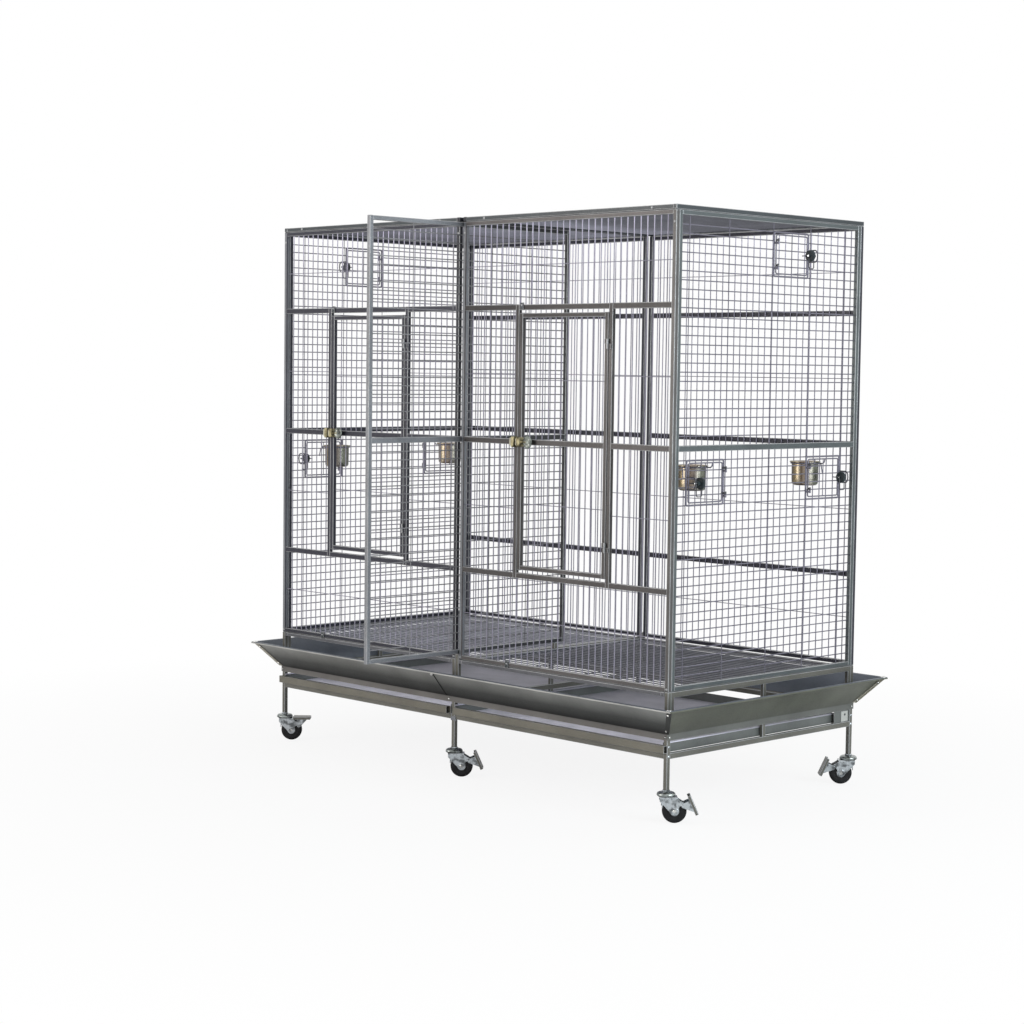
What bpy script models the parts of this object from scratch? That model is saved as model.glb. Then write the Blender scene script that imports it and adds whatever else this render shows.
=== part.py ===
"""A double bird cage on a rolling stand, with a divider that pulls out between its two bays.

Metres, +Z up. The origin is on the floor under the middle of the whole object as it stands, with
the divider half out, and the front faces -Y. Functions work from the middle of the cage, which
an empty sets behind the origin.
"""
import math

import bpy
from mathutils import Matrix, Vector

# Overall sizes
BODY_WIDTH = 1.6256
BODY_DEPTH = 0.8044
PANEL_HEIGHT = 1.2547
TUBE = 0.0127
GAP = 0.0003

# Rails of the panels, as heights above the panel's lower edge
RAIL_HEIGHT = 0.016
LOWER_RAIL = 0.262
MIDDLE_RAIL = 0.636
UPPER_RAIL = 1.009
RAIL_FACE_SETBACK = 0.0005
RAIL_BACK = 0.0056

# Bars and cross wires
BAR = 0.0036
BAR_PITCH = 0.0237
BAR_DEPTH = 0.0092
WIRE = 0.0028
WIRE_DEPTH = 0.0040
BAR_SIDES = 3
BAR_ROUNDING = 0.6
ROOT = 0.003
ROOF_WIRE_PITCH = 0.195

# Slot that the divider slides in, and the divider
SLOT_CLEARANCE = 0.00065
DIVIDER_PULL = 0.348
DIVIDER_FRONT_INSET = 0.0017
DIVIDER_BACK_CLEARANCE = 0.003
DIVIDER_RISE = 0.0152
DIVIDER_TOP_CLEARANCE = 0.001
DIVIDER_WIRE_PITCH = 0.157

# Main doors
DOOR_PITCHES = 15
DOOR_SIDE_CLEARANCE = 0.0025
DOOR_END_CLEARANCE = 0.008
HINGE_FROM_END = 0.085
HINGE_PIN = 0.0035
HINGE_OUT = 0.0038
KNUCKLE = 0.013
LEAF_LENGTH = 0.012
LEAF_THICKNESS = 0.0048

# Latches of the main doors
BOLT = 0.004
BOLT_CLEARANCE = 0.0005
BOLT_OUT = 0.0085
BOLT_TRAVEL = 0.009
HOUSING_LENGTH = 0.020
HOUSING_HEIGHT = 0.024
HOUSING_OUT = 0.0155
KEEPER_LENGTH = 0.0125
FINGER_DISC = 0.017
FINGER_DISC_THICKNESS = 0.005

# Feeder doors and their openings in the side panels
FEEDER_WIDTH = 0.140
FEEDER_BORDER = 0.005
FEEDER_CLEARANCE = 0.0025
FEEDER_PITCHES = 5
FEEDER_LOW_BAR = 19
FEEDER_FROM_START = 0.1277
FEEDER_FROM_END = 0.1432
FEEDER_HIGH_PAST_MIDDLE = 0.084
FEEDER_KNUCKLE = 0.016
FEEDER_HINGE_FROM_END = 0.0256
KNOB_RADIUS = 0.016
KNOB_LENGTH = 0.018
KNOB_OUT = 0.019
KNOB_BOLT = 0.003
KNOB_TRAVEL = 0.008
KNOB_TIP_CLEARANCE = 0.0012
LUG_THICKNESS = 0.0046
LUG_HEIGHT = 0.014

# Cups and the rings that carry them
CUP_RADIUS = 0.038
CUP_RIM = 0.0435
CUP_HEIGHT = 0.068
CUP_WALL = 0.0012
CUP_RIM_HEIGHT = 0.0036
CUP_FOOT = 0.0304
CUP_SHOULDER = 0.0365
CUP_SHOULDER_HEIGHT = 0.0061
CUP_INSIDE = 0.006
CUP_TOWARD_HINGE = 0.010
CUP_DROP = 0.014
RING_WIRE = 0.004
ARM_SPREAD = 0.0228
ARM_INSET = 0.0008
CUP_SIDES = 12

# Stand
LEG_BELOW_RAIL = 0.082
STAND_RAIL = 0.016
STAND_WINDOW = 0.096
STEM_CAP = 0.0102
LEDGE = 0.009

# Sheet apron round the stand
APRON_SHEET = 0.0015
APRON_ABOVE_RAIL = 0.0015
APRON_RISE = 0.0755
APRON_FLARE = 0.061
APRON_LIP = 0.009
APRON_SEAM = -0.040

# Slide-out trays and grates
TRAY_WALL = 0.0015
TRAY_HEIGHT = 0.028
TRAY_HEADROOM = 0.005
TRAY_BACK_ROOM = 0.0684
TRAY_FRONT_LIP = 0.0215
TRAY_FRONT_THICKNESS = 0.012
SLIDE_CLEARANCE = 0.0012
GRATE_HEIGHT = 0.012
GRATE_TOP_CLEARANCE = 0.001
GRATE_BAR_PITCH = 0.026
GRATE_BEARER_PITCH = 0.194

# Casters
WHEEL_RADIUS = 0.0325
WHEEL_WIDTH = 0.024
WHEEL_SHOULDER = 0.0025
WHEEL_SIDES = 16
AXLE = 0.004
AXLE_CLEARANCE = 0.0004
TRAIL = 0.022
SWIVEL_DISC = 0.023
SWIVEL_HEIGHT = 0.0127
FORK_SHEET = 0.0025
FORK_PLATE = 0.0038
FORK_INSIDE = 0.0132
FORK_HEEL = 0.0175
FORK_TOE = 0.0295
FORK_EYE = 0.007
FORK_EYE_DROP = 0.0095
FORK_CHEEK_LAP = 0.002
PIVOT_AHEAD = 0.024
PIVOT_ABOVE = 0.0155
PEDAL_PIN = 0.003
PEDAL_PIN_SIDES = 6
PEDAL_TREAD_ABOVE = 0.027
PEDAL_TREAD_END = 0.036
PEDAL_TREAD_CLEARANCE = 0.004
PEDAL_SHEET = 0.0022
PEDAL_EYE = 0.0066
PEDAL_WEB_END = 0.0324
PEDAL_WEB_EDGE = 0.0194
PEDAL_SWING = math.radians(66)

HALF_WIDTH = BODY_WIDTH / 2
HALF_DEPTH = BODY_DEPTH / 2
SWIVEL_LOW = 2 * WHEEL_RADIUS + SLIDE_CLEARANCE + FORK_PLATE
LEG_BOTTOM = SWIVEL_LOW + SWIVEL_HEIGHT + GAP + ROOT
STAND_LOW = LEG_BOTTOM + LEG_BELOW_RAIL
STAND_UPPER = STAND_LOW + STAND_RAIL + TRAY_HEIGHT + TRAY_HEADROOM
APRON_BOTTOM = STAND_UPPER + STAND_RAIL + APRON_ABOVE_RAIL
STAND_TOP = STAND_UPPER + STAND_RAIL + STAND_WINDOW
PANEL_BOTTOM = STAND_TOP + STAND_RAIL + GAP
PANEL_TOP = PANEL_BOTTOM + PANEL_HEIGHT
SLOT = TUBE + 2 * SLOT_CLEARANCE
BAY_PANEL = (BODY_WIDTH - SLOT) / 2
CENTRE_X = -(SLOT + TUBE) / 2
SIDE_LENGTH = BODY_DEPTH - 2 * (TUBE + GAP)
HALF_RAIL = RAIL_HEIGHT / 2
DIVIDER_LENGTH = BODY_DEPTH - TUBE - DIVIDER_BACK_CLEARANCE - DIVIDER_FRONT_INSET
DIVIDER_REST_HEIGHT = PANEL_BOTTOM + DIVIDER_RISE
GRATE_LOW = PANEL_BOTTOM - GRATE_TOP_CLEARANCE - GRATE_HEIGHT
CUP_LINE = TUBE + CUP_RIM + CUP_INSIDE
TRAY_DEPTH = BODY_DEPTH - TRAY_BACK_ROOM
PEDAL_PIVOT_X = TRAIL + PIVOT_AHEAD
PEDAL_PIVOT_Z = WHEEL_RADIUS + PIVOT_ABOVE

STEEL = (0.13, 0.13, 0.12, 1)
SHEET = (0.16, 0.16, 0.14, 1)
ZINC = (0.55, 0.57, 0.58, 1)
RUBBER = (0.02, 0.02, 0.02, 1)
BRASS = (0.45, 0.40, 0.26, 1)
STAINLESS = (0.45, 0.42, 0.38, 1)


def box(low, high):
    """A closed block between two corners."""
    x0, y0, z0 = low
    x1, y1, z1 = high
    points = [
        (x0, y0, z0), (x1, y0, z0), (x1, y1, z0), (x0, y1, z0),
        (x0, y0, z1), (x1, y0, z1), (x1, y1, z1), (x0, y1, z1),
    ]
    faces = [(3, 2, 1, 0), (4, 5, 6, 7), (0, 1, 5, 4), (1, 2, 6, 5), (2, 3, 7, 6), (3, 0, 4, 7)]
    return points, faces


def frame(width, depth, height, border):
    """A rectangular tube frame that stands in the XZ plane, one border wide on each edge."""
    corners = [
        (0, 0), (width, 0), (width, height), (0, height),
        (border, border), (width - border, border),
        (width - border, height - border), (border, height - border),
    ]
    points = [(x, 0, z) for x, z in corners]
    points += [(x, depth, z) for x, z in corners]
    faces = []
    for i in range(4):
        j = (i + 1) % 4
        faces.append((i, j, 4 + j, 4 + i))
        faces.append((8 + j, 8 + i, 12 + i, 12 + j))
        faces.append((j, i, 8 + i, 8 + j))
        faces.append((4 + i, 4 + j, 12 + j, 12 + i))
    return points, faces


def extrusion(outline, start, end):
    """A plate whose XZ outline, anticlockwise seen from -Y, runs from one depth to another."""
    count = len(outline)
    points = [(x, start, z) for x, z in outline]
    points += [(x, end, z) for x, z in outline]
    faces = [tuple(range(count)), tuple(range(2 * count - 1, count - 1, -1))]
    for i in range(count):
        j = (i + 1) % count
        faces.append((j, i, count + i, count + j))
    return points, faces


def rod(start, end, radius, sides):
    """A straight closed rod with flat sides."""
    start = Vector(start)
    end = Vector(end)
    along = (end - start).normalized()
    helper = Vector((0, 0, 1))
    if abs(along.z) > 0.9:
        helper = Vector((0, 1, 0))
    first = along.cross(helper).normalized()
    second = along.cross(first)
    points = []
    for centre in (start, end):
        for i in range(sides):
            angle = 2 * math.pi * (i + 0.5) / sides
            offset = first * math.cos(angle) + second * math.sin(angle)
            points.append(tuple(centre + offset * radius))
    faces = [tuple(range(sides - 1, -1, -1)), tuple(range(sides, 2 * sides))]
    for i in range(sides):
        j = (i + 1) % sides
        faces.append((i, j, sides + j, sides + i))
    return points, faces


def slim_bar(start, end, size):
    """A bar or wire with three flat sides, about as wide as its size."""
    return rod(start, end, size * BAR_ROUNDING, BAR_SIDES)


def turned(profile, sides):
    """A closed body turned about Z from a profile of radius and height, bottom to top outside.

    A profile that starts and ends on the axis is capped there, and any other is a closed loop.
    """
    points = []
    rows = []
    for radius, height in profile:
        if radius == 0:
            rows.append([len(points)])
            points.append((0, 0, height))
            continue
        row = []
        for i in range(sides):
            angle = 2 * math.pi * i / sides
            row.append(len(points))
            points.append((radius * math.cos(angle), radius * math.sin(angle), height))
        rows.append(row)
    pairs = list(zip(rows, rows[1:]))
    if len(rows[0]) > 1:
        pairs.append((rows[-1], rows[0]))
    faces = []
    for low, high in pairs:
        for i in range(sides):
            j = (i + 1) % sides
            if len(low) == 1:
                faces.append((low[0], high[j], high[i]))
            elif len(high) == 1:
                faces.append((low[i], low[j], high[0]))
            else:
                faces.append((low[i], low[j], high[j], high[i]))
    return points, faces


def moved(solid, matrix):
    """The same solid under a rigid move."""
    points, faces = solid
    return [tuple(matrix @ Vector(point)) for point in points], faces


def mesh_of(name, solids):
    """One mesh that holds several closed solids."""
    points = []
    faces = []
    for solid_points, solid_faces in solids:
        start = len(points)
        points += solid_points
        faces += [[start + i for i in face] for face in solid_faces]
    mesh = bpy.data.meshes.new(name)
    mesh.from_pydata(points, [], faces)
    mesh.update()
    return mesh


def add_object(name, mesh):
    """An object in the scene that shows this mesh."""
    item = bpy.data.objects.new(name, mesh)
    bpy.context.scene.collection.objects.link(item)
    return item


def solid_mesh(name, steps):
    """The mesh left after each step is added to, or cut from, the one before it."""
    body = add_object(name, mesh_of(name, steps[0][1]))
    for operation, solids in steps[1:]:
        if not solids:
            continue
        tool = add_object(name + "_tool", mesh_of(name + "_tool", solids))
        boolean = body.modifiers.new("step", "BOOLEAN")
        boolean.operation = operation
        boolean.solver = "EXACT"
        boolean.object = tool
        bpy.context.view_layer.update()
        graph = bpy.context.evaluated_depsgraph_get()
        result = bpy.data.meshes.new_from_object(body.evaluated_get(graph))
        body.modifiers.clear()
        body.data = result
        bpy.data.objects.remove(tool)
    mesh = body.data
    bpy.data.objects.remove(body)
    return mesh


def divider_rest():
    """How far in front of the cage's middle the divider's front edge rests."""
    return DIVIDER_LENGTH + DIVIDER_PULL - (HALF_DEPTH - TUBE - DIVIDER_BACK_CLEARANCE)


def cage_middle():
    """The empty at the middle of the cage, from which the divider and the apron reach as far."""
    middle = bpy.data.objects.get("cage_middle")
    if middle is None:
        middle = add_object("cage_middle", None)
        behind = HALF_DEPTH + GAP + APRON_FLARE + APRON_LIP
        middle.location = (0, (divider_rest() - behind) / 2, 0)
    return middle


def finish(name, mesh, colour, roughness, metallic, parent=None, place=(0, 0, 0), turn=(0, 0, 0)):
    """The named sub-part with its own material, at its place under its parent."""
    mesh.name = name
    item = add_object(name, mesh)
    item.parent = parent or cage_middle()
    item.location = place
    item.rotation_euler = turn
    material = bpy.data.materials.new(name)
    material.use_nodes = True
    shader = material.node_tree.nodes["Principled BSDF"]
    shader.inputs["Base Color"].default_value = colour
    shader.inputs["Roughness"].default_value = roughness
    shader.inputs["Metallic"].default_value = metallic
    mesh.materials.clear()
    mesh.materials.append(material)
    return item


def smooth(mesh):
    """Smooth shading on round faces, with sharp edges kept."""
    mesh.shade_smooth()
    mesh.set_sharp_from_angle(angle=math.radians(40))


def spaced(low, high, pitch):
    """Even places between two edges, as near to the pitch as whole gaps allow."""
    gaps = max(1, round((high - low) / pitch))
    step = (high - low) / gaps
    return [low + step * i for i in range(1, gaps)]


def panel_bars():
    """Places of the upright bars across a bay panel."""
    return spaced(TUBE, BAY_PANEL - TUBE, BAR_PITCH)


def door_jambs():
    """Centres of the two door jambs, each on a bar's place."""
    places = panel_bars()
    first = (len(places) - DOOR_PITCHES) // 2
    return places[first], places[first + DOOR_PITCHES]


def wire_heights():
    """Heights of the level cross wires, midway between the rails."""
    levels = [TUBE, LOWER_RAIL, MIDDLE_RAIL, UPPER_RAIL, PANEL_HEIGHT - TUBE]
    return [(low + high) / 2 for low, high in zip(levels, levels[1:])]


def hinge_axis():
    """Place across the panel of the main door's hinge pin."""
    return door_jambs()[1] - TUBE / 2 - DOOR_SIDE_CLEARANCE / 2


def hinge_heights():
    """Heights of the two main hinges on the panel."""
    low = LOWER_RAIL + HALF_RAIL + DOOR_END_CLEARANCE + HINGE_FROM_END
    high = UPPER_RAIL - HALF_RAIL - DOOR_END_CLEARANCE - HINGE_FROM_END
    return low, high


def knuckles(axis_x, heights, toward, length, out=HINGE_OUT, leaf=LEAF_LENGTH):
    """Hinge knuckles on a pin line in front of a panel, each with a leaf on the frame behind.

    toward is 1 for the leaf on the +X side, whose knuckle is the lower one, and -1 for the other.
    """
    rods = []
    leaves = []
    for height in heights:
        low = height - length if toward > 0 else height + GAP
        rods.append(rod((axis_x, -out, low), (axis_x, -out, low + length), HINGE_PIN, 6))
        ends = sorted((axis_x, axis_x + toward * leaf))
        leaves.append(
            box((ends[0], -LEAF_THICKNESS, low), (ends[1], RAIL_FACE_SETBACK, low + length))
        )
    return rods, leaves


def keeper_place():
    """Place across the panel of the latch keeper's inner face."""
    return door_jambs()[0] + TUBE / 2 - RAIL_FACE_SETBACK


def bored_block(x0, x1, height, tall, out):
    """A block on the face of a frame, to be bored along X."""
    return box((x0, -out, height - tall / 2), (x1, RAIL_FACE_SETBACK, height + tall / 2))


def front_panel_mesh(name):
    """A bay front: tube frame, three rails, bars, door jambs, hinge halves and latch keeper."""
    left_jamb, right_jamb = door_jambs()
    sides = (ROOT, BAY_PANEL - ROOT)
    rails = []
    for height in (LOWER_RAIL, UPPER_RAIL):
        rails.append(rail_block(sides[0], sides[1], height))
    rails.append(rail_block(sides[0], left_jamb, MIDDLE_RAIL))
    rails.append(rail_block(right_jamb, sides[1], MIDDLE_RAIL))
    jamb_low = LOWER_RAIL - HALF_RAIL
    jamb_high = UPPER_RAIL + HALF_RAIL
    doorway = [door_surround(left_jamb, right_jamb, jamb_low, jamb_high)]
    bars = []
    root_low = TUBE - ROOT
    root_high = PANEL_HEIGHT - TUBE + ROOT
    for x in panel_bars():
        blocked = left_jamb - TUBE < x < right_jamb + TUBE
        if blocked:
            bars.append(upright(x, root_low, jamb_low + ROOT))
            bars.append(upright(x, jamb_high - ROOT, root_high))
        else:
            bars.append(upright(x, root_low, root_high))
    wires = []
    for number, height in enumerate(wire_heights()):
        if number in (1, 2):
            wires.append(level_wire(TUBE - ROOT, left_jamb - TUBE / 2 + ROOT, height))
            wires.append(level_wire(right_jamb + TUBE / 2 - ROOT, BAY_PANEL - TUBE + ROOT, height))
        else:
            wires.append(level_wire(TUBE - ROOT, BAY_PANEL - TUBE + ROOT, height))
    rods, leaves = knuckles(hinge_axis(), hinge_heights(), 1, KNUCKLE)
    inner = keeper_place()
    keeper = bored_block(inner - KEEPER_LENGTH, inner, MIDDLE_RAIL, HOUSING_HEIGHT, HOUSING_OUT)
    bore = rod(
        (inner - 2 * KEEPER_LENGTH, -BOLT_OUT, MIDDLE_RAIL),
        (inner + KEEPER_LENGTH, -BOLT_OUT, MIDDLE_RAIL),
        BOLT + BOLT_CLEARANCE,
        8,
    )
    return solid_mesh(name, [
        ("UNION", [frame(BAY_PANEL, TUBE, PANEL_HEIGHT, TUBE)]),
        ("UNION", doorway),
        ("UNION", rails),
        ("UNION", bars),
        ("UNION", wires),
        ("UNION", leaves + [keeper]),
        ("UNION", rods),
        ("DIFFERENCE", [bore]),
    ])


def door_surround(left_jamb, right_jamb, low, high):
    """The ring of tube round a doorway, with deep head and sill."""
    width = right_jamb - left_jamb + TUBE
    points, faces = frame(width, TUBE - 2 * RAIL_FACE_SETBACK, high - low, TUBE)
    tall = []
    for x, y, z in points:
        if z == TUBE:
            z = RAIL_HEIGHT
        if z == high - low - TUBE:
            z = high - low - RAIL_HEIGHT
        tall.append((x + left_jamb - TUBE / 2, y + RAIL_FACE_SETBACK, z + low))
    return tall, faces


def rail_block(x0, x1, height):
    """A shallow rail that crosses in front of the upright bars."""
    low = height - HALF_RAIL
    return box((x0, 2 * RAIL_FACE_SETBACK, low), (x1, RAIL_BACK, low + RAIL_HEIGHT))


def upright(x, low, high):
    """An upright bar in the plane behind the rails."""
    return slim_bar((x, BAR_DEPTH, low), (x, BAR_DEPTH, high), BAR)


def level_wire(x0, x1, height):
    """A level cross wire in front of the upright bars."""
    return slim_bar((x0, WIRE_DEPTH, height), (x1, WIRE_DEPTH, height), WIRE)


def back_panel_mesh(name):
    """A bay back: tube frame, three rails, bars and cross wires."""
    rails = [rail_block(ROOT, BAY_PANEL - ROOT, h) for h in (LOWER_RAIL, MIDDLE_RAIL, UPPER_RAIL)]
    bars = [upright(x, TUBE - ROOT, PANEL_HEIGHT - TUBE + ROOT) for x in panel_bars()]
    wires = [level_wire(TUBE - ROOT, BAY_PANEL - TUBE + ROOT, h) for h in wire_heights()]
    return solid_mesh(name, [
        ("UNION", [frame(BAY_PANEL, TUBE, PANEL_HEIGHT, TUBE)]),
        ("UNION", rails),
        ("UNION", bars),
        ("UNION", wires),
    ])


def level_bar_heights():
    """Heights of the level bars of a side panel, below and above its middle rail."""
    low = spaced(TUBE, MIDDLE_RAIL - HALF_RAIL, BAR_PITCH)
    high = spaced(MIDDLE_RAIL + HALF_RAIL, PANEL_HEIGHT - TUBE, BAR_PITCH)
    return low, high


def feeder_spots():
    """The three feeder openings of a side panel: centre along it, and its lowest and highest bar.

    The third is as high up as its bars allow.
    """
    low, high = level_bar_heights()
    spots = []
    for centre, heights, first in (
        (FEEDER_FROM_START, low, FEEDER_LOW_BAR),
        (SIDE_LENGTH - FEEDER_FROM_END, low, FEEDER_LOW_BAR),
        (SIDE_LENGTH / 2 + FEEDER_HIGH_PAST_MIDDLE, high, len(high)),
    ):
        start = min(first, len(heights) - FEEDER_PITCHES - 1)
        spots.append((centre, heights[start], heights[start + FEEDER_PITCHES]))
    return spots


def feeder_half():
    """Half the width of a feeder opening's border, outside."""
    return FEEDER_WIDTH / 2 + FEEDER_CLEARANCE + FEEDER_BORDER


def feeder_axis():
    """Distance from a feeder's centre line to its hinge pin."""
    return FEEDER_WIDTH / 2 + FEEDER_CLEARANCE / 2


def feeder_hinge_heights(low, high):
    """Heights of a feeder door's two hinges."""
    return low + FEEDER_HINGE_FROM_END, high - FEEDER_HINGE_FROM_END


def cut_level_bars(heights, openings):
    """Level bars from end to end of a side panel, broken at the feeder openings."""
    bars = []
    for height in heights:
        start = TUBE - ROOT
        for centre, low, high in sorted(openings):
            if low - BAR < height < high + BAR:
                bars.append(level_bar(start, centre - feeder_half() + ROOT / 2, height))
                start = centre + feeder_half() - ROOT / 2
        bars.append(level_bar(start, SIDE_LENGTH - TUBE + ROOT, height))
    return bars


def level_bar(x0, x1, height):
    """A level bar in the plane behind the cross wires."""
    return slim_bar((x0, BAR_DEPTH, height), (x1, BAR_DEPTH, height), BAR)


def side_wire_places():
    """Places along a side panel of its upright cross wires, beside the feeder openings."""
    half = feeder_half() + WIRE
    first, last, middle = [spot[0] for spot in feeder_spots()]
    return [first - half, first + half, middle - half, last - half, last + half]


def hinge_side(spot_number):
    """1 where a feeder door's hinge is on the +X side of its opening, else -1."""
    return 1 if spot_number == 0 else -1


def lug_places():
    """Distances from a feeder's centre line to the keeper lug, the bolt's tip and the door's lug."""
    keeper = feeder_half() - FEEDER_BORDER / 2
    tip = keeper - LUG_THICKNESS / 2 - KNOB_TIP_CLEARANCE
    door = tip - KNOB_TRAVEL - KNOB_LENGTH - 2 * GAP - LUG_THICKNESS / 2
    return keeper, tip, door


def lug(centre_x, height):
    """A small plate that stands out of a frame, to be bored along X for a knob's bolt."""
    half = LUG_THICKNESS / 2
    return box(
        (centre_x - half, -KNOB_OUT - LUG_HEIGHT / 2, height - LUG_HEIGHT / 2),
        (centre_x + half, ROOT, height + LUG_HEIGHT / 2),
    )


def lug_bore(centre_x, height):
    """The hole through a lug."""
    return rod(
        (centre_x - LUG_THICKNESS, -KNOB_OUT, height),
        (centre_x + LUG_THICKNESS, -KNOB_OUT, height),
        KNOB_BOLT + BOLT_CLEARANCE,
        6,
    )


def side_panel_mesh(name):
    """A side: tube frame, middle rail, level bars, and three bordered feeder openings."""
    low, high = level_bar_heights()
    spots = feeder_spots()
    rail = box(
        (ROOT, RAIL_FACE_SETBACK, MIDDLE_RAIL - HALF_RAIL),
        (SIDE_LENGTH - ROOT, TUBE - RAIL_FACE_SETBACK, MIDDLE_RAIL + HALF_RAIL),
    )
    borders = []
    fittings = []
    bores = []
    pins = []
    for number, (centre, bottom, top) in enumerate(spots):
        border = frame(
            2 * feeder_half(), TUBE - 2 * RAIL_FACE_SETBACK, top - bottom + FEEDER_BORDER, FEEDER_BORDER
        )
        corner = (centre - feeder_half(), RAIL_FACE_SETBACK, bottom - FEEDER_BORDER / 2)
        borders.append(moved(border, Matrix.Translation(corner)))
        side = hinge_side(number)
        keeper_x = centre - side * lug_places()[0]
        middle = (bottom + top) / 2
        fittings.append(lug(keeper_x, middle))
        bores.append(lug_bore(keeper_x, middle))
        heights = feeder_hinge_heights(bottom, top)
        rods, leaves = feeder_knuckles(centre + side * feeder_axis(), heights, side, True)
        pins += rods
        fittings += leaves
    bars = cut_level_bars(low, spots[:2]) + cut_level_bars(high, spots[2:])
    wires = []
    middle_low = MIDDLE_RAIL - HALF_RAIL + ROOT
    middle_high = MIDDLE_RAIL + HALF_RAIL - ROOT
    for x in side_wire_places():
        wires.append(upright_wire(x, TUBE - ROOT, middle_low))
        wires.append(upright_wire(x, middle_high, PANEL_HEIGHT - TUBE + ROOT))
    return solid_mesh(name, [
        ("UNION", [frame(SIDE_LENGTH, TUBE, PANEL_HEIGHT, TUBE)]),
        ("UNION", [rail]),
        ("UNION", bars),
        ("UNION", borders),
        ("UNION", wires),
        ("UNION", fittings),
        ("UNION", pins),
        ("DIFFERENCE", bores),
    ])


def upright_wire(x, low, high):
    """An upright cross wire in front of the level bars."""
    return slim_bar((x, WIRE_DEPTH, low), (x, WIRE_DEPTH, high), WIRE)


def feeder_knuckles(axis_x, heights, side, on_panel):
    """Hinge knuckles of a feeder door, the panel's half below the door's half."""
    toward = side if on_panel else -side
    rods = []
    leaves = []
    for height in heights:
        low = height - FEEDER_KNUCKLE / 2 if on_panel else height + GAP
        high = height if on_panel else height + FEEDER_KNUCKLE / 2
        rods.append(rod((axis_x, -HINGE_OUT, low), (axis_x, -HINGE_OUT, high), HINGE_PIN, 6))
        ends = sorted((axis_x, axis_x + toward * (FEEDER_CLEARANCE / 2 + FEEDER_BORDER / 2)))
        leaves.append(box((ends[0], -LEAF_THICKNESS, low), (ends[1], FEEDER_BORDER / 2, high)))
    return rods, leaves


def divider_mesh(name):
    """The divider: tube frame, middle rail, level bars and upright cross wires."""
    height = divider_height()
    middle = PANEL_BOTTOM + MIDDLE_RAIL - DIVIDER_REST_HEIGHT
    rail = box(
        (ROOT, RAIL_FACE_SETBACK, middle - HALF_RAIL),
        (DIVIDER_LENGTH - ROOT, TUBE - RAIL_FACE_SETBACK, middle + HALF_RAIL),
    )
    low = spaced(TUBE, middle - HALF_RAIL, BAR_PITCH)
    high = spaced(middle + HALF_RAIL, height - TUBE, BAR_PITCH)
    bars = []
    for z in low + high:
        bars.append(level_bar(TUBE - ROOT, DIVIDER_LENGTH - TUBE + ROOT, z))
    wires = []
    for x in spaced(TUBE, DIVIDER_LENGTH - TUBE, DIVIDER_WIRE_PITCH):
        wires.append(upright_wire(x, TUBE - ROOT, middle - HALF_RAIL + ROOT))
        wires.append(upright_wire(x, middle + HALF_RAIL - ROOT, height - TUBE + ROOT))
    return solid_mesh(name, [
        ("UNION", [frame(DIVIDER_LENGTH, TUBE, height, TUBE)]),
        ("UNION", [rail]),
        ("UNION", bars),
        ("UNION", wires),
    ])


def divider_height():
    """Height of the divider, from its resting edge to just under the top of the panels."""
    return PANEL_TOP - DIVIDER_TOP_CLEARANCE - DIVIDER_REST_HEIGHT


def roof_mesh(name):
    """A bay roof: tube frame, bars from front to back, and cross wires over them."""
    bars = [upright(x, TUBE - ROOT, BODY_DEPTH - TUBE + ROOT) for x in panel_bars()]
    wires = []
    for z in spaced(TUBE, BODY_DEPTH - TUBE, ROOF_WIRE_PITCH):
        wires.append(level_wire(TUBE - ROOT, BAY_PANEL - TUBE + ROOT, z))
    return solid_mesh(name, [
        ("UNION", [frame(BAY_PANEL, TUBE, BODY_DEPTH, TUBE)]),
        ("UNION", bars),
        ("UNION", wires),
    ])


def door_size():
    """Width and height of a main door, and where its lower left corner is on the panel."""
    left_jamb, right_jamb = door_jambs()
    width = right_jamb - left_jamb - TUBE - 2 * DOOR_SIDE_CLEARANCE
    low = LOWER_RAIL + HALF_RAIL + DOOR_END_CLEARANCE
    high = UPPER_RAIL - HALF_RAIL - DOOR_END_CLEARANCE
    return width, high - low, left_jamb + TUBE / 2 + DOOR_SIDE_CLEARANCE, low


def door_mesh(name):
    """A main door: frame, middle rail, bars, wires, hinge halves and latch housing."""
    width, height, left, low = door_size()
    middle = MIDDLE_RAIL - low
    bars = []
    for x in spaced(TUBE, width - TUBE, BAR_PITCH):
        bars.append(upright(x, TUBE - ROOT, height - TUBE + ROOT))
    wires = []
    for z in ((TUBE + middle) / 2, (middle + height - TUBE) / 2):
        wires.append(level_wire(TUBE - ROOT, width - TUBE + ROOT, z))
    heights = [z - low for z in hinge_heights()]
    rods, leaves = knuckles(hinge_axis() - left, heights, -1, KNUCKLE)
    housing = bored_block(
        RAIL_FACE_SETBACK, HOUSING_LENGTH, middle, HOUSING_HEIGHT, HOUSING_OUT
    )
    bore = rod(
        (-HOUSING_LENGTH, -BOLT_OUT, middle),
        (2 * HOUSING_LENGTH, -BOLT_OUT, middle),
        BOLT + BOLT_CLEARANCE,
        8,
    )
    mesh = solid_mesh(name, [
        ("UNION", [frame(width, TUBE, height, TUBE)]),
        ("UNION", [rail_block(ROOT, width - ROOT, middle)]),
        ("UNION", bars),
        ("UNION", wires),
        ("UNION", leaves + [housing]),
        ("UNION", rods),
        ("DIFFERENCE", [bore]),
    ])
    mesh.transform(Matrix.Translation((left - hinge_axis(), HINGE_OUT, low)))
    return mesh


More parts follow.
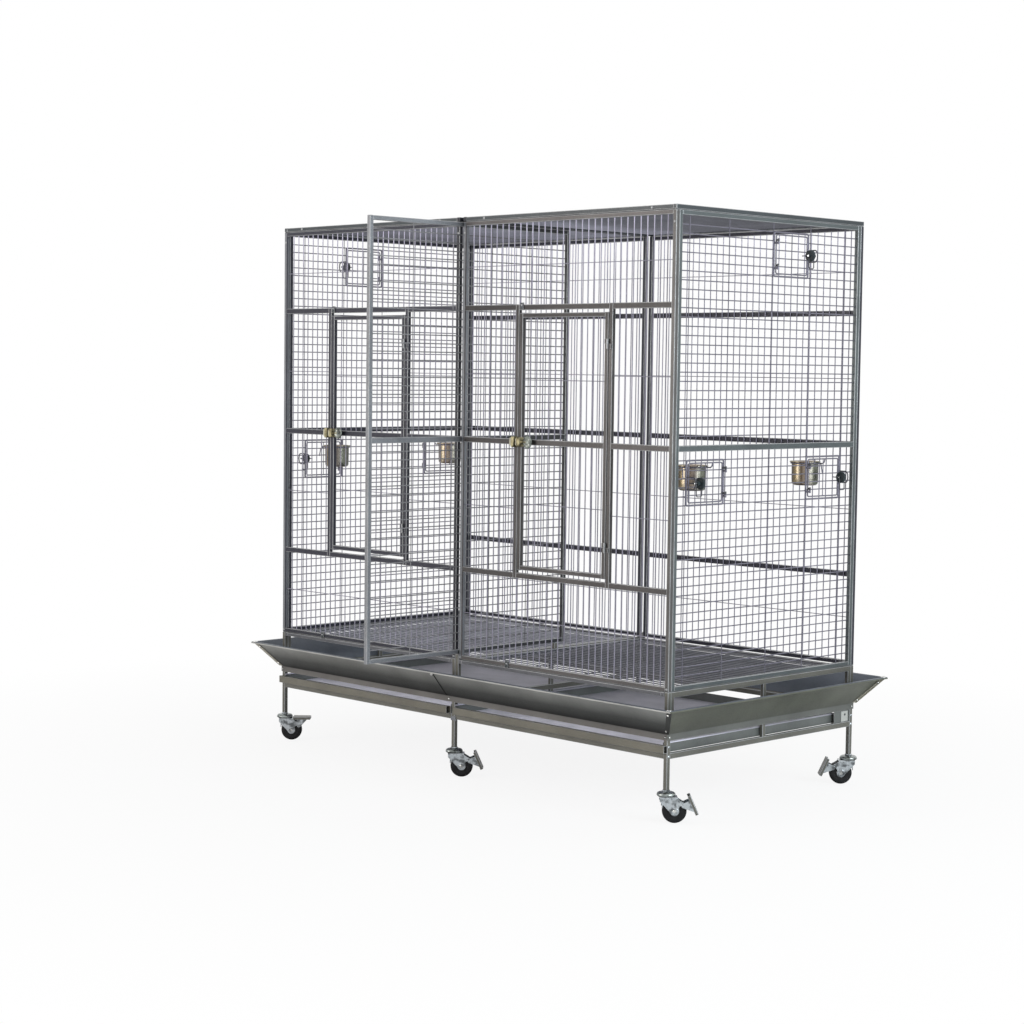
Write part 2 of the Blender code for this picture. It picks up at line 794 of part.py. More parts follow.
def latch_mesh(name):
    """A sliding bolt along X with a round finger disc on its inner end."""
    disc_x = HOUSING_LENGTH + BOLT_TRAVEL - RAIL_FACE_SETBACK + FINGER_DISC
    bolt = rod((0, 0, 0), (disc_x, 0, 0), BOLT, 8)
    disc = rod((disc_x, -BOLT, 0), (disc_x, FINGER_DISC_THICKNESS - BOLT, 0), FINGER_DISC, 16)
    mesh = solid_mesh(name, [("UNION", [bolt]), ("UNION", [disc])])
    smooth(mesh)
    return mesh


def cup_profile():
    """The profile of a cup: outside up to its rolled rim, and back down inside."""
    return [
        (0, 0),
        (CUP_FOOT, 0),
        (CUP_SHOULDER, CUP_SHOULDER_HEIGHT),
        (CUP_RADIUS, CUP_HEIGHT - CUP_RIM_HEIGHT),
        (CUP_RIM, CUP_HEIGHT - CUP_RIM_HEIGHT),
        (CUP_RIM, CUP_HEIGHT),
        (CUP_RADIUS - CUP_WALL, CUP_HEIGHT),
        (CUP_SHOULDER - CUP_WALL, CUP_SHOULDER_HEIGHT + CUP_WALL / 2),
        (CUP_FOOT - CUP_WALL / 2, CUP_WALL),
        (0, CUP_WALL),
    ]


def cup_mesh(name):
    """A stainless cup, with its origin on its centre line at the bottom."""
    mesh = solid_mesh(name, [("UNION", [turned(cup_profile(), CUP_SIDES)])])
    smooth(mesh)
    return mesh


def cup_ring(centre_z):
    """The wire ring that a cup hangs in, round its own centre line."""
    inner = CUP_RADIUS + 2 * GAP
    outer = inner + RING_WIRE
    profile = [
        (inner, centre_z - RING_WIRE),
        (outer, centre_z - RING_WIRE),
        (outer, centre_z),
        (inner, centre_z),
    ]
    return turned(profile, CUP_SIDES)


def feeder_door_mesh(name, spot, side, with_cup):
    """A feeder door: wire frame, level bars, hinge halves, bolt lug and, low down, a cup ring."""
    centre, bottom, top = spot
    height = top - bottom - FEEDER_BORDER - 2 * FEEDER_CLEARANCE
    body = moved(
        frame(FEEDER_WIDTH, TUBE - 2 * RAIL_FACE_SETBACK, height, FEEDER_BORDER),
        Matrix.Translation((-FEEDER_WIDTH / 2, RAIL_FACE_SETBACK, -height / 2)),
    )
    bars = []
    for z in spaced(-height / 2, height / 2, BAR_PITCH):
        reach = FEEDER_WIDTH / 2 - FEEDER_BORDER / 2
        bars.append(slim_bar((-reach, BAR_DEPTH, z), (reach, BAR_DEPTH, z), BAR))
    middle = (bottom + top) / 2
    heights = [z - middle for z in feeder_hinge_heights(bottom, top)]
    rods, leaves = feeder_knuckles(side * feeder_axis(), heights, side, False)
    door_lug = -side * lug_places()[2]
    post = box(
        (door_lug - FEEDER_BORDER / 2, RAIL_FACE_SETBACK * 2, -height / 2 + FEEDER_BORDER / 2),
        (door_lug + FEEDER_BORDER / 2, WIRE_DEPTH + WIRE / 2, height / 2 - FEEDER_BORDER / 2),
    )
    steps = [
        ("UNION", [body]),
        ("UNION", bars),
        ("UNION", [post]),
        ("UNION", leaves + [lug(door_lug, 0)]),
        ("UNION", rods),
        ("DIFFERENCE", [lug_bore(door_lug, 0)]),
    ]
    if with_cup:
        steps += cup_carrier_steps(height, side)
    mesh = solid_mesh(name, steps)
    mesh.transform(Matrix.Translation((-side * feeder_axis(), HINGE_OUT, 0)))
    return mesh


def cup_carrier_steps(height, side):
    """Steps that add the cup's ring and the two arms that hold it to the door's top wire."""
    level = height / 2 - CUP_DROP
    cup_x = side * CUP_TOWARD_HINGE
    ring = moved(cup_ring(level), Matrix.Translation((cup_x, CUP_LINE, 0)))
    reach = math.sqrt((CUP_RADIUS + 2 * GAP + RING_WIRE / 2) ** 2 - ARM_SPREAD ** 2)
    start = TUBE - FEEDER_BORDER
    arms = []
    drops = []
    for sign in (-1, 1):
        low_x = cup_x + sign * ARM_SPREAD - RING_WIRE / 2
        high_x = low_x + RING_WIRE
        arms.append(box(
            (low_x, start, level - RING_WIRE + ARM_INSET),
            (high_x, CUP_LINE - reach, level - ARM_INSET),
        ))
        drops.append(box(
            (low_x + GAP, start + GAP, level - RING_WIRE + ARM_INSET / 2),
            (high_x - GAP, TUBE - 2 * RAIL_FACE_SETBACK, height / 2 - FEEDER_BORDER / 2),
        ))
    return [("UNION", drops), ("UNION", arms), ("UNION", [ring])]


def knob_mesh(name, side):
    """A round knob on a bolt along X, with its origin at the bolt's tip."""
    _, tip, door_lug = lug_places()
    length = tip - door_lug + LUG_THICKNESS
    bolt = rod((0, 0, 0), (side * length, 0, 0), KNOB_BOLT, 6)
    start = side * KNOB_TRAVEL
    knob = rod((start, 0, 0), (start + side * KNOB_LENGTH, 0, 0), KNOB_RADIUS, 12)
    mesh = solid_mesh(name, [("UNION", [bolt]), ("UNION", [knob])])
    smooth(mesh)
    return mesh


def leg(x, y, top):
    """One square leg of the stand."""
    return box((x, y, LEG_BOTTOM), (x + TUBE, y + TUBE, top))


def stand_side_mesh(name, side):
    """An end frame of the stand with the rails that run from it to the centre frame."""
    x0 = -HALF_WIDTH if side < 0 else HALF_WIDTH - TUBE
    front = -HALF_DEPTH
    back = HALF_DEPTH - TUBE
    top = PANEL_BOTTOM - GAP
    legs = [leg(x0, front, top), leg(x0, back, top)]
    inner = sorted((x0 + TUBE / 2, CENTRE_X + side * (TUBE / 2 + GAP)))
    rails = []
    cross = []
    for low in (STAND_LOW, STAND_UPPER):
        rails.append(side_rail(x0, low, STAND_RAIL))
        for y in (front, back):
            cross.append(box(
                (inner[0], y + RAIL_FACE_SETBACK, low + RAIL_FACE_SETBACK),
                (inner[1], y + TUBE - RAIL_FACE_SETBACK, low + STAND_RAIL - RAIL_FACE_SETBACK),
            ))
    rails.append(side_rail(x0, STAND_TOP, STAND_RAIL))
    strut = [strut_block(x0, STAND_LOW + ROOT, STAND_TOP + ROOT)]
    for y in (front + TUBE - RAIL_FACE_SETBACK, back - TUBE + RAIL_FACE_SETBACK):
        strut.append(box(
            (x0 + RAIL_FACE_SETBACK, y, STAND_UPPER + ROOT),
            (x0 + TUBE - RAIL_FACE_SETBACK, y + TUBE, STAND_TOP + ROOT),
        ))
    ledge_x = x0 + TUBE - ROOT if side < 0 else x0 - LEDGE
    return solid_mesh(name, [
        ("UNION", legs),
        ("UNION", rails),
        ("UNION", strut),
        ("UNION", cross),
        ("UNION", [ledge_block(ledge_x)]),
        ("UNION", stem_caps(x0 + TUBE / 2)),
    ])


def side_rail(x0, low, height):
    """A rail from leg to leg along Y, just inside the legs' faces."""
    return box(
        (x0 + RAIL_FACE_SETBACK / 2, -HALF_DEPTH + ROOT, low),
        (x0 + TUBE - RAIL_FACE_SETBACK / 2, HALF_DEPTH - ROOT, low + height - RAIL_FACE_SETBACK),
    )


def strut_block(x0, low, high):
    """The strut halfway along an end frame or the centre frame."""
    return box(
        (x0 + RAIL_FACE_SETBACK, -TUBE / 2, low), (x0 + TUBE - RAIL_FACE_SETBACK, TUBE / 2, high)
    )


def ledge_block(x0):
    """A ledge that a grate's side slides on."""
    return box(
        (x0, -HALF_DEPTH + TUBE * 2, STAND_TOP + RAIL_FACE_SETBACK),
        (x0 + LEDGE + ROOT, HALF_DEPTH - TUBE * 2, GRATE_LOW - GAP),
    )


def stem_caps(x):
    """Round caps under a frame's two legs, over the swivel stems."""
    caps = []
    for y in (-HALF_DEPTH + TUBE / 2, HALF_DEPTH - TUBE / 2):
        caps.append(rod((x, y, LEG_BOTTOM - ROOT), (x, y, LEG_BOTTOM + ROOT / 2), STEM_CAP, 12))
    return caps


def stand_centre_mesh(name):
    """The centre frame of the stand, under the left bay's inner edge, with the divider's posts."""
    x0 = CENTRE_X - TUBE / 2
    front = -HALF_DEPTH
    back = HALF_DEPTH - TUBE
    top = PANEL_BOTTOM - GAP
    rails = [side_rail(x0, low, STAND_RAIL) for low in (STAND_LOW, STAND_UPPER, STAND_TOP)]
    strut = [strut_block(x0, STAND_LOW + ROOT, STAND_TOP + ROOT)]
    for y in (front + TUBE - RAIL_FACE_SETBACK, back - TUBE + RAIL_FACE_SETBACK):
        strut.append(box(
            (x0 + RAIL_FACE_SETBACK, y, STAND_UPPER + ROOT),
            (x0 + TUBE - RAIL_FACE_SETBACK, y + TUBE, STAND_TOP + ROOT),
        ))
    low = STAND_UPPER + STAND_RAIL
    webs = []
    posts = [divider_post(-TUBE / 2, STAND_TOP + 2 * RAIL_FACE_SETBACK)]
    for y in (front, back):
        posts.append(divider_post(y, low))
        webs.append(box(
            (x0 + TUBE - RAIL_FACE_SETBACK, y + 2 * RAIL_FACE_SETBACK, low + RAIL_FACE_SETBACK),
            (0, y + TUBE - 2 * RAIL_FACE_SETBACK, top - GAP),
        ))
    right_ledge = box(
        (x0 + TUBE - ROOT, -HALF_DEPTH + TUBE * 2, STAND_TOP + RAIL_FACE_SETBACK),
        (TUBE / 2 + LEDGE, HALF_DEPTH - TUBE * 2, GRATE_LOW - GAP),
    )
    return solid_mesh(name, [
        ("UNION", [leg(x0, front, top), leg(x0, back, top)]),
        ("UNION", rails),
        ("UNION", strut),
        ("UNION", [ledge_block(x0 - LEDGE), right_ledge]),
        ("UNION", webs),
        ("UNION", posts),
        ("UNION", stem_caps(CENTRE_X)),
    ])


def divider_post(y, low):
    """A post in the slot between the bays, up to the divider's lower edge."""
    return box(
        (-TUBE / 2, y + RAIL_FACE_SETBACK, low),
        (TUBE / 2, y + TUBE - RAIL_FACE_SETBACK, DIVIDER_REST_HEIGHT - GAP),
    )


def apron_profile():
    """Cross-section of an apron sheet as distance out and height, with flange, flare and lip."""
    sheet = APRON_SHEET
    top = APRON_BOTTOM + APRON_RISE
    flange_low = APRON_BOTTOM - STAND_RAIL
    slope = sheet * math.hypot(APRON_FLARE, APRON_RISE) / APRON_RISE
    near = GAP
    return [
        (near, flange_low),
        (near + sheet, flange_low),
        (near + sheet, APRON_BOTTOM),
        (near + APRON_FLARE + slope, top),
        (near + APRON_FLARE + APRON_LIP, top),
        (near + APRON_FLARE + APRON_LIP, top + sheet),
        (near + APRON_FLARE, top + sheet),
        (near, APRON_BOTTOM + sheet),
    ]


def apron_sheet(half_length, start, end):
    """An apron sheet along X whose ends are mitred at a corner, or square at a seam."""
    profile = apron_profile()
    count = len(profile)
    points = []
    for edge in (start, end):
        for out, height in profile:
            x = edge
            if edge == "left":
                x = -half_length - out + GAP / 2
            if edge == "right":
                x = half_length + out - GAP / 2
            points.append((x, -out, height))
    faces = [tuple(range(count)), tuple(range(2 * count - 1, count - 1, -1))]
    for i in range(count):
        j = (i + 1) % count
        faces.append((j, i, count + i, count + j))
    return points, faces


def tray_mesh(name, side):
    """A slide-out tray: an open pan with a folded front that covers the legs' faces."""
    width = tray_width(side)
    pan = box((0, 0, 0), (width, TRAY_DEPTH, TRAY_HEIGHT))
    hollow = box(
        (TRAY_WALL, TRAY_WALL, TRAY_WALL),
        (width - TRAY_WALL, TRAY_DEPTH - TRAY_WALL, TRAY_HEIGHT + TRAY_WALL),
    )
    over_leg = TUBE + SLIDE_CLEARANCE - RAIL_FACE_SETBACK
    over_middle = TUBE / 2 + SLIDE_CLEARANCE - 2 * GAP
    over = (over_leg, over_middle) if side < 0 else (over_middle, over_leg)
    front = box(
        (-over[0], -TRAY_FRONT_THICKNESS, RAIL_FACE_SETBACK),
        (width + over[1], GAP, TRAY_FRONT_LIP),
    )
    lowered = box(
        (TRAY_WALL, -TRAY_WALL, TRAY_FRONT_LIP),
        (width - TRAY_WALL, TRAY_WALL * 2, TRAY_HEIGHT + TRAY_WALL),
    )
    return solid_mesh(name, [
        ("UNION", [pan]),
        ("DIFFERENCE", [hollow]),
        ("DIFFERENCE", [lowered]),
        ("UNION", [front]),
    ])


def tray_width(side):
    """Width of a tray between an end frame and the centre frame."""
    return HALF_WIDTH - side * CENTRE_X - TUBE - TUBE / 2 - 2 * SLIDE_CLEARANCE


def grate_width(side):
    """Width of a grate, which on the right starts beyond the divider's posts."""
    if side < 0:
        return tray_width(side)
    return HALF_WIDTH - TUBE - TUBE / 2 - 2 * SLIDE_CLEARANCE


def grate_mesh(name, side):
    """A slide-out floor grate: a frame with bars along X and three bearers under them."""
    width = grate_width(side)
    depth = BODY_DEPTH - TUBE
    bars = []
    for z in spaced(TUBE, depth - TUBE, GRATE_BAR_PITCH):
        bars.append(slim_bar((TUBE - ROOT, WIRE_DEPTH, z), (width - TUBE + ROOT, WIRE_DEPTH, z), BAR))
    bearers = []
    for x in spaced(TUBE, width - TUBE, GRATE_BEARER_PITCH):
        bearers.append(upright(x, TUBE - ROOT, depth - TUBE + ROOT))
    return solid_mesh(name, [
        ("UNION", [frame(width, GRATE_HEIGHT, depth, TUBE)]),
        ("UNION", bars),
        ("UNION", bearers),
    ])


def fork_mesh(name):
    """A caster fork: swivel disc, top plate, two cheeks, wheel axle and a pedal pin on each cheek."""
    top = LEG_BOTTOM - ROOT - GAP
    disc = rod((0, 0, SWIVEL_LOW), (0, 0, top), SWIVEL_DISC, 12)
    half = FORK_INSIDE + FORK_SHEET
    plate = box(
        (-FORK_HEEL - RAIL_FACE_SETBACK, -half, SWIVEL_LOW - FORK_PLATE),
        (FORK_TOE + RAIL_FACE_SETBACK, half, SWIVEL_LOW + RAIL_FACE_SETBACK),
    )
    cheek_top = SWIVEL_LOW - FORK_CHEEK_LAP
    outline = [
        (-FORK_HEEL, cheek_top - FORK_EYE_DROP),
        (TRAIL - 2 * FORK_EYE, WHEEL_RADIUS + FORK_EYE),
        (TRAIL - FORK_EYE, WHEEL_RADIUS - FORK_EYE_DROP),
        (TRAIL + FORK_EYE, WHEEL_RADIUS - FORK_EYE_DROP),
        (TRAIL + 2 * FORK_EYE, PEDAL_PIVOT_Z - FORK_EYE),
        (PEDAL_PIVOT_X + FORK_EYE, PEDAL_PIVOT_Z - FORK_EYE),
        (PEDAL_PIVOT_X + FORK_EYE, PEDAL_PIVOT_Z + FORK_EYE),
        (FORK_TOE, cheek_top),
        (-FORK_HEEL, cheek_top),
    ]
    cheeks = []
    for side in (-1, 1):
        near = side * FORK_INSIDE
        far = side * (half - RAIL_FACE_SETBACK / 2)
        cheeks.append(extrusion(outline, min(near, far), max(near, far)))
    reach = half + PEDAL_SHEET + 4 * GAP
    axle = rod((TRAIL, -half - ROOT / 2, WHEEL_RADIUS), (TRAIL, half + ROOT / 2, WHEEL_RADIUS), AXLE, 6)
    pins = []
    for side in (-1, 1):
        inner = (PEDAL_PIVOT_X, side * (FORK_INSIDE + RAIL_FACE_SETBACK), PEDAL_PIVOT_Z)
        outer = (PEDAL_PIVOT_X, side * reach, PEDAL_PIVOT_Z)
        pins.append(rod(inner, outer, PEDAL_PIN, PEDAL_PIN_SIDES))
    return solid_mesh(name, [
        ("UNION", [plate]),
        ("UNION", [disc]),
        ("UNION", cheeks),
        ("UNION", [axle]),
        ("UNION", pins),
    ])


def wheel_mesh(name):
    """A rubber wheel whose axis is Y, bored for its axle, with a flat side down on the floor."""
    half = WHEEL_WIDTH / 2
    half_step = math.pi / WHEEL_SIDES
    to_corner = 1 / math.cos(half_step)
    bore = (AXLE + AXLE_CLEARANCE) * to_corner
    tread = WHEEL_RADIUS * to_corner
    profile = [
        (bore, -half),
        (tread - WHEEL_SHOULDER, -half),
        (tread, WHEEL_SHOULDER - half),
        (tread, half - WHEEL_SHOULDER),
        (tread - WHEEL_SHOULDER, half),
        (bore, half),
    ]
    upright_wheel = Matrix.Rotation(math.pi / 2, 4, "X") @ Matrix.Rotation(half_step, 4, "Z")
    mesh = solid_mesh(name, [("UNION", [moved(turned(profile, WHEEL_SIDES), upright_wheel)])])
    smooth(mesh)
    return mesh


def pedal_mesh(name):
    """A brake pedal, lying level: a tread plate on two webs that turn on the fork's pin."""
    near = FORK_INSIDE + FORK_SHEET + GAP * 2
    far = near + PEDAL_SHEET
    start = SWIVEL_DISC + PEDAL_TREAD_CLEARANCE - PEDAL_PIVOT_X
    tread = box(
        (start, -far, PEDAL_TREAD_ABOVE - PEDAL_SHEET),
        (PEDAL_TREAD_END, far, PEDAL_TREAD_ABOVE),
    )
    web_top = PEDAL_TREAD_ABOVE - PEDAL_SHEET / 2
    outline = [
        (-PEDAL_EYE, -PEDAL_EYE), (PEDAL_EYE, -PEDAL_EYE), (PEDAL_WEB_END, PEDAL_WEB_EDGE),
        (PEDAL_WEB_END, web_top), (-PEDAL_EYE, web_top),
    ]
    webs = [
        extrusion(outline, -far + RAIL_FACE_SETBACK / 4, -near),
        extrusion(outline, near, far - RAIL_FACE_SETBACK / 4),
    ]
    bore_radius = (PEDAL_PIN + AXLE_CLEARANCE) / math.cos(math.pi / PEDAL_PIN_SIDES)
    bore = rod((0, -2 * far, 0), (0, 2 * far, 0), bore_radius, PEDAL_PIN_SIDES)
    return solid_mesh(name, [("UNION", [tread]), ("UNION", webs), ("DIFFERENCE", [bore])])


def build_panels():
    """Fronts, backs, sides and roof, each placed on its own side of the cage."""
    quarter = math.pi / 2
    panels = {}
    for name, x in (("front_left_panel", -HALF_WIDTH), ("front_right_panel", SLOT / 2)):
        place = (x, -HALF_DEPTH, PANEL_BOTTOM)
        panels[name] = finish(name, front_panel_mesh(name), STEEL, 0.5, 0.6, None, place)
    for name, x in (("back_left_panel", -SLOT / 2), ("back_right_panel", HALF_WIDTH)):
        place = (x, HALF_DEPTH, PANEL_BOTTOM)
        turn = (0, 0, math.pi)
        panels[name] = finish(name, back_panel_mesh(name), STEEL, 0.5, 0.6, None, place, turn)
    for name, side in (("left_side_panel", -1), ("right_side_panel", 1)):
        place = (side * HALF_WIDTH, -side * SIDE_LENGTH / 2, PANEL_BOTTOM)
        turn = (0, 0, side * quarter)
        panels[name] = finish(name, side_panel_mesh(name), STEEL, 0.5, 0.6, None, place, turn)
    for name, x in (("roof_left_panel", -HALF_WIDTH), ("roof_right_panel", SLOT / 2)):
        place = (x, -HALF_DEPTH, PANEL_TOP + TUBE + GAP)
        turn = (-quarter, 0, 0)
        panels[name] = finish(name, roof_mesh(name), STEEL, 0.5, 0.6, None, place, turn)
    return panels


def build_doors(panels):
    """A hinged door with a sliding latch in each front panel."""
    _, _, left, low = door_size()
    for side in ("left", "right"):
        panel = panels["front_" + side + "_panel"]
        name = side + "_door"
        place = (hinge_axis(), -HINGE_OUT, 0)
        door = finish(name, door_mesh(name), STEEL, 0.5, 0.6, panel, place)
        latch_name = name + "_latch"
        latch_place = (
            left + 2 * RAIL_FACE_SETBACK - hinge_axis(), HINGE_OUT - BOLT_OUT, MIDDLE_RAIL
        )
        finish(latch_name, latch_mesh(latch_name), BRASS, 0.35, 0.9, door, latch_place)


def build_feeders(panels):
    """Three feeder doors in each side panel, each with a knob, and a cup in the two low ones."""
    for side_name, labels in (
        ("left", ("low_back", "low_front", "high")),
        ("right", ("low_front", "low_back", "high")),
    ):
        panel = panels[side_name + "_side_panel"]
        for number, spot in enumerate(feeder_spots()):
            side = hinge_side(number)
            centre, bottom, top = spot
            name = side_name + "_feeder_door_" + labels[number]
            axis = centre + side * feeder_axis()
            place = (axis, -HINGE_OUT, (bottom + top) / 2)
            has_cup = number < 2
            mesh = feeder_door_mesh(name, spot, side, has_cup)
            door = finish(name, mesh, STEEL, 0.5, 0.6, panel, place)
            add_knob(door, side_name + "_feeder_knob_" + labels[number], side)
            if has_cup:
                cup_name = side_name + "_cup_" + labels[number][4:]
                level = (top - bottom - FEEDER_BORDER) / 2 - FEEDER_CLEARANCE - CUP_DROP
                cup_z = level + GAP - CUP_HEIGHT + CUP_RIM_HEIGHT
                cup_x = side * (CUP_TOWARD_HINGE - feeder_axis())
                cup_place = (cup_x, CUP_LINE + HINGE_OUT, cup_z)
                finish(cup_name, cup_mesh(cup_name), STAINLESS, 0.25, 1, door, cup_place)


def add_knob(door, name, side):
    """The knob and bolt of a feeder door, drawn back just clear of the keeper lug."""
    tip_x = -side * (lug_places()[1] + feeder_axis())
    finish(name, knob_mesh(name, side), RUBBER, 0.4, 0, door, (tip_x, HINGE_OUT - KNOB_OUT, 0))


def build_stand():
    """The two end frames and the centre frame of the stand, with six casters."""
    frames = {
        "left": finish("stand_left_frame", stand_side_mesh("stand_left_frame", -1), STEEL, 0.5, 0.6),
        "centre": finish("stand_centre_frame", stand_centre_mesh("stand_centre_frame"), STEEL, 0.5, 0.6),
        "right": finish("stand_right_frame", stand_side_mesh("stand_right_frame", 1), STEEL, 0.5, 0.6),
    }
    inset = TUBE / 2
    across = {"left": -HALF_WIDTH + inset, "centre": CENTRE_X, "right": HALF_WIDTH - inset}
    toward_view = math.radians(45)
    for row, y in (("front", -HALF_DEPTH + inset), ("back", HALF_DEPTH - inset)):
        for column, x in across.items():
            turn = toward_view if row == "front" else toward_view + math.pi
            level_pedal = (row, column) == ("front", "left")
            add_caster(row + "_" + column, frames[column], (x, y, 0), turn, level_pedal)


def add_caster(label, parent, place, turn, level_pedal):
    """A swivel caster with its wheel and brake pedal."""
    fork_name = label + "_caster_fork"
    fork = finish(fork_name, fork_mesh(fork_name), ZINC, 0.35, 0.9, parent, place, (0, 0, turn))
    wheel_name = label + "_wheel"
    finish(wheel_name, wheel_mesh(wheel_name), RUBBER, 0.6, 0, fork, (TRAIL, 0, WHEEL_RADIUS))
    pedal_name = label + "_brake_pedal"
    pedal_turn = 0 if level_pedal else PEDAL_SWING
    pivot = (PEDAL_PIVOT_X, 0, PEDAL_PIVOT_Z)
    finish(pedal_name, pedal_mesh(pedal_name), ZINC, 0.35, 0.9, fork, pivot, (0, pedal_turn, 0))


def build_aprons():
    """Six flared sheets round the stand, mitred at the corners and butted near the middle."""
    seam = GAP / 2
    for side_name, half, start, end, y, turn in (
        ("front_left", HALF_WIDTH, "left", APRON_SEAM - seam, -HALF_DEPTH, 0),
        ("front_right", HALF_WIDTH, APRON_SEAM + seam, "right", -HALF_DEPTH, 0),
        ("back_right", HALF_WIDTH, "left", -seam, HALF_DEPTH, math.pi),
        ("back_left", HALF_WIDTH, seam, "right", HALF_DEPTH, math.pi),
    ):
        name = "apron_" + side_name
        mesh = mesh_of(name, [apron_sheet(half, start, end)])
        finish(name, mesh, SHEET, 0.5, 0.5, None, (0, y, 0), (0, 0, turn))
    for side_name, side in (("left", -1), ("right", 1)):
        name = "apron_" + side_name
        mesh = mesh_of(name, [apron_sheet(HALF_DEPTH, "left", "right")])
        turn = (0, 0, side * math.pi / 2)
        finish(name, mesh, SHEET, 0.5, 0.5, None, (side * HALF_WIDTH, 0, 0), turn)


def build_slides():
    """The divider, and a tray and a grate in each bay."""
    place = (TUBE / 2, -divider_rest(), DIVIDER_REST_HEIGHT)
    finish("divider", divider_mesh("divider"), STEEL, 0.45, 0.6, None, place, (0, 0, math.pi / 2))
    near_centre = TUBE / 2 + SLIDE_CLEARANCE
    near_end = HALF_WIDTH - TUBE - SLIDE_CLEARANCE
    for side_name, side, tray_x, grate_x in (
        ("left", -1, -near_end, -near_end),
        ("right", 1, CENTRE_X + near_centre, near_centre),
    ):
        tray_name = side_name + "_tray"
        tray_z = STAND_LOW + STAND_RAIL - RAIL_FACE_SETBACK + GAP
        tray_place = (tray_x, -HALF_DEPTH - GAP * 2, tray_z)
        finish(tray_name, tray_mesh(tray_name, side), SHEET, 0.5, 0.5, None, tray_place)
        grate_name = side_name + "_grate"
        grate_place = (grate_x, -HALF_DEPTH + GAP, GRATE_LOW + GRATE_HEIGHT)
        turn = (-math.pi / 2, 0, 0)
        finish(grate_name, grate_mesh(grate_name, side), STEEL, 0.5, 0.6, None, grate_place, turn)


def main():
    """The whole cage."""
    for item in list(bpy.data.objects):
        bpy.data.objects.remove(item)
    panels = build_panels()
    build_doors(panels)
    build_feeders(panels)
    build_stand()
    build_aprons()
    build_slides()
    bpy.context.view_layer.update()


main()
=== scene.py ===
"""A double bird cage on a rolling stand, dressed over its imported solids. Metres, +Z up."""
import math

import bmesh
import bpy
from mathutils import Matrix, Vector


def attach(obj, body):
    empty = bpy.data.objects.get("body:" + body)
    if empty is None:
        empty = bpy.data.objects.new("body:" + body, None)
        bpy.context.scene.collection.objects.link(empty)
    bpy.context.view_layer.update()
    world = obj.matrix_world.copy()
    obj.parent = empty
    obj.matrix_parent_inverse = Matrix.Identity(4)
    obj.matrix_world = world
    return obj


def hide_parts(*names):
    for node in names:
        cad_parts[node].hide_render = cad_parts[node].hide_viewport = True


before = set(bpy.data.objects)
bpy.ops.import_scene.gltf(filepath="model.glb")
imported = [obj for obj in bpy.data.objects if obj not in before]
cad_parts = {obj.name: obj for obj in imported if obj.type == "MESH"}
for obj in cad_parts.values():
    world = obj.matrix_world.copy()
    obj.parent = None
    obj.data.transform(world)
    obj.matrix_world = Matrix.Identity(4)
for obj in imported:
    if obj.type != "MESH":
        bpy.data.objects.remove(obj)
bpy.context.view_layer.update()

# Studio
# A white room with a cool key lamp on the right and a weaker warm one at the front. The floor is
# white and keeps the cage's faint shadow. The lens sees the cage from its front right corner.
CAGE_Y = 0.138
LENS = 73.24
SENSOR = 36
CAMERA_AT = (4.3839, CAGE_Y - 4.4678, 1.1826)
CAMERA_TURN = 45.68
CAMERA_DIP = 3.92
CAMERA_ROLL = 0.73
LAMP_SIZE = 2.2
FLOOR_HALF = 30
FLOOR_BELOW = 0.0004
ROOM_LIGHT = 0.6
SHADOW_NEAR = 0.9
SHADOW_FAR = 2.6


def moved(x, y, z):
    """A shift of place."""
    return Matrix.Translation((x, y, z))


def turned(angle, axis="Z"):
    """A turn about an axis, in degrees."""
    return Matrix.Rotation(math.radians(angle), 4, axis)


def new_item(name, data):
    """An object in the scene for a mesh, a lamp or a camera."""
    item = bpy.data.objects.new(name, data)
    bpy.context.scene.collection.objects.link(item)
    return item


def mesh_item(points, edges=(), faces=(), name="part"):
    """An object made of points, edges and faces."""
    mesh = bpy.data.meshes.new(name)
    mesh.from_pydata([tuple(point) for point in points], edges, faces)
    return new_item(name, mesh)


def feed(tree, node, given):
    """Sets inputs of a node to values, or links them to sockets or to a node's first live output."""
    for key, value in given.items():
        if isinstance(value, bpy.types.Node):
            value = next(socket for socket in value.outputs if socket.enabled)
        if isinstance(value, bpy.types.NodeSocket):
            tree.links.new(value, node.inputs[key])
        else:
            node.inputs[key].default_value = value


def add_node(tree, kind, given=None, **settings):
    """A node with its settings and inputs."""
    node = tree.nodes.new(kind)
    for setting, value in settings.items():
        setattr(node, setting, value)
    feed(tree, node, given or {})
    return node


def math_node(tree, operation, *values):
    """A calculation over numbers and nodes."""
    return add_node(tree, "ShaderNodeMath", dict(enumerate(values)), operation=operation)


def remap(tree, value, low, high, first=0, last=1):
    """One range of a value laid over another."""
    return add_node(tree, "ShaderNodeMapRange", {
        "Value": value, "From Min": low, "From Max": high, "To Min": first, "To Max": last,
    })


def object_place(tree, kind="Object"):
    """Where a point is on its object, or another set of texture coordinates."""
    return add_node(tree, "ShaderNodeTexCoord").outputs[kind]


def along_axis(tree, axis, kind="Object"):
    """One part of a set of texture coordinates."""
    return add_node(tree, "ShaderNodeSeparateXYZ", {"Vector": object_place(tree, kind)}).outputs[axis]


def colour_ramp(tree, value, stops):
    """A colour for a value, from pairs of position and colour."""
    ramp = add_node(tree, "ShaderNodeValToRGB", {"Fac": value})
    elements = ramp.color_ramp.elements
    for number, (position, colour) in enumerate(stops):
        stop = elements[number] if number < 2 else elements.new(position)
        stop.position = position
        stop.color = (*colour, 1)
    return ramp


def new_material(name):
    """An empty node material."""
    material = bpy.data.materials.new(name)
    material.use_nodes = True
    return material


def feed_shader(material, given):
    """Sets or links inputs of a material's own shader."""
    feed(material.node_tree, material.node_tree.nodes["Principled BSDF"], given)
    return material


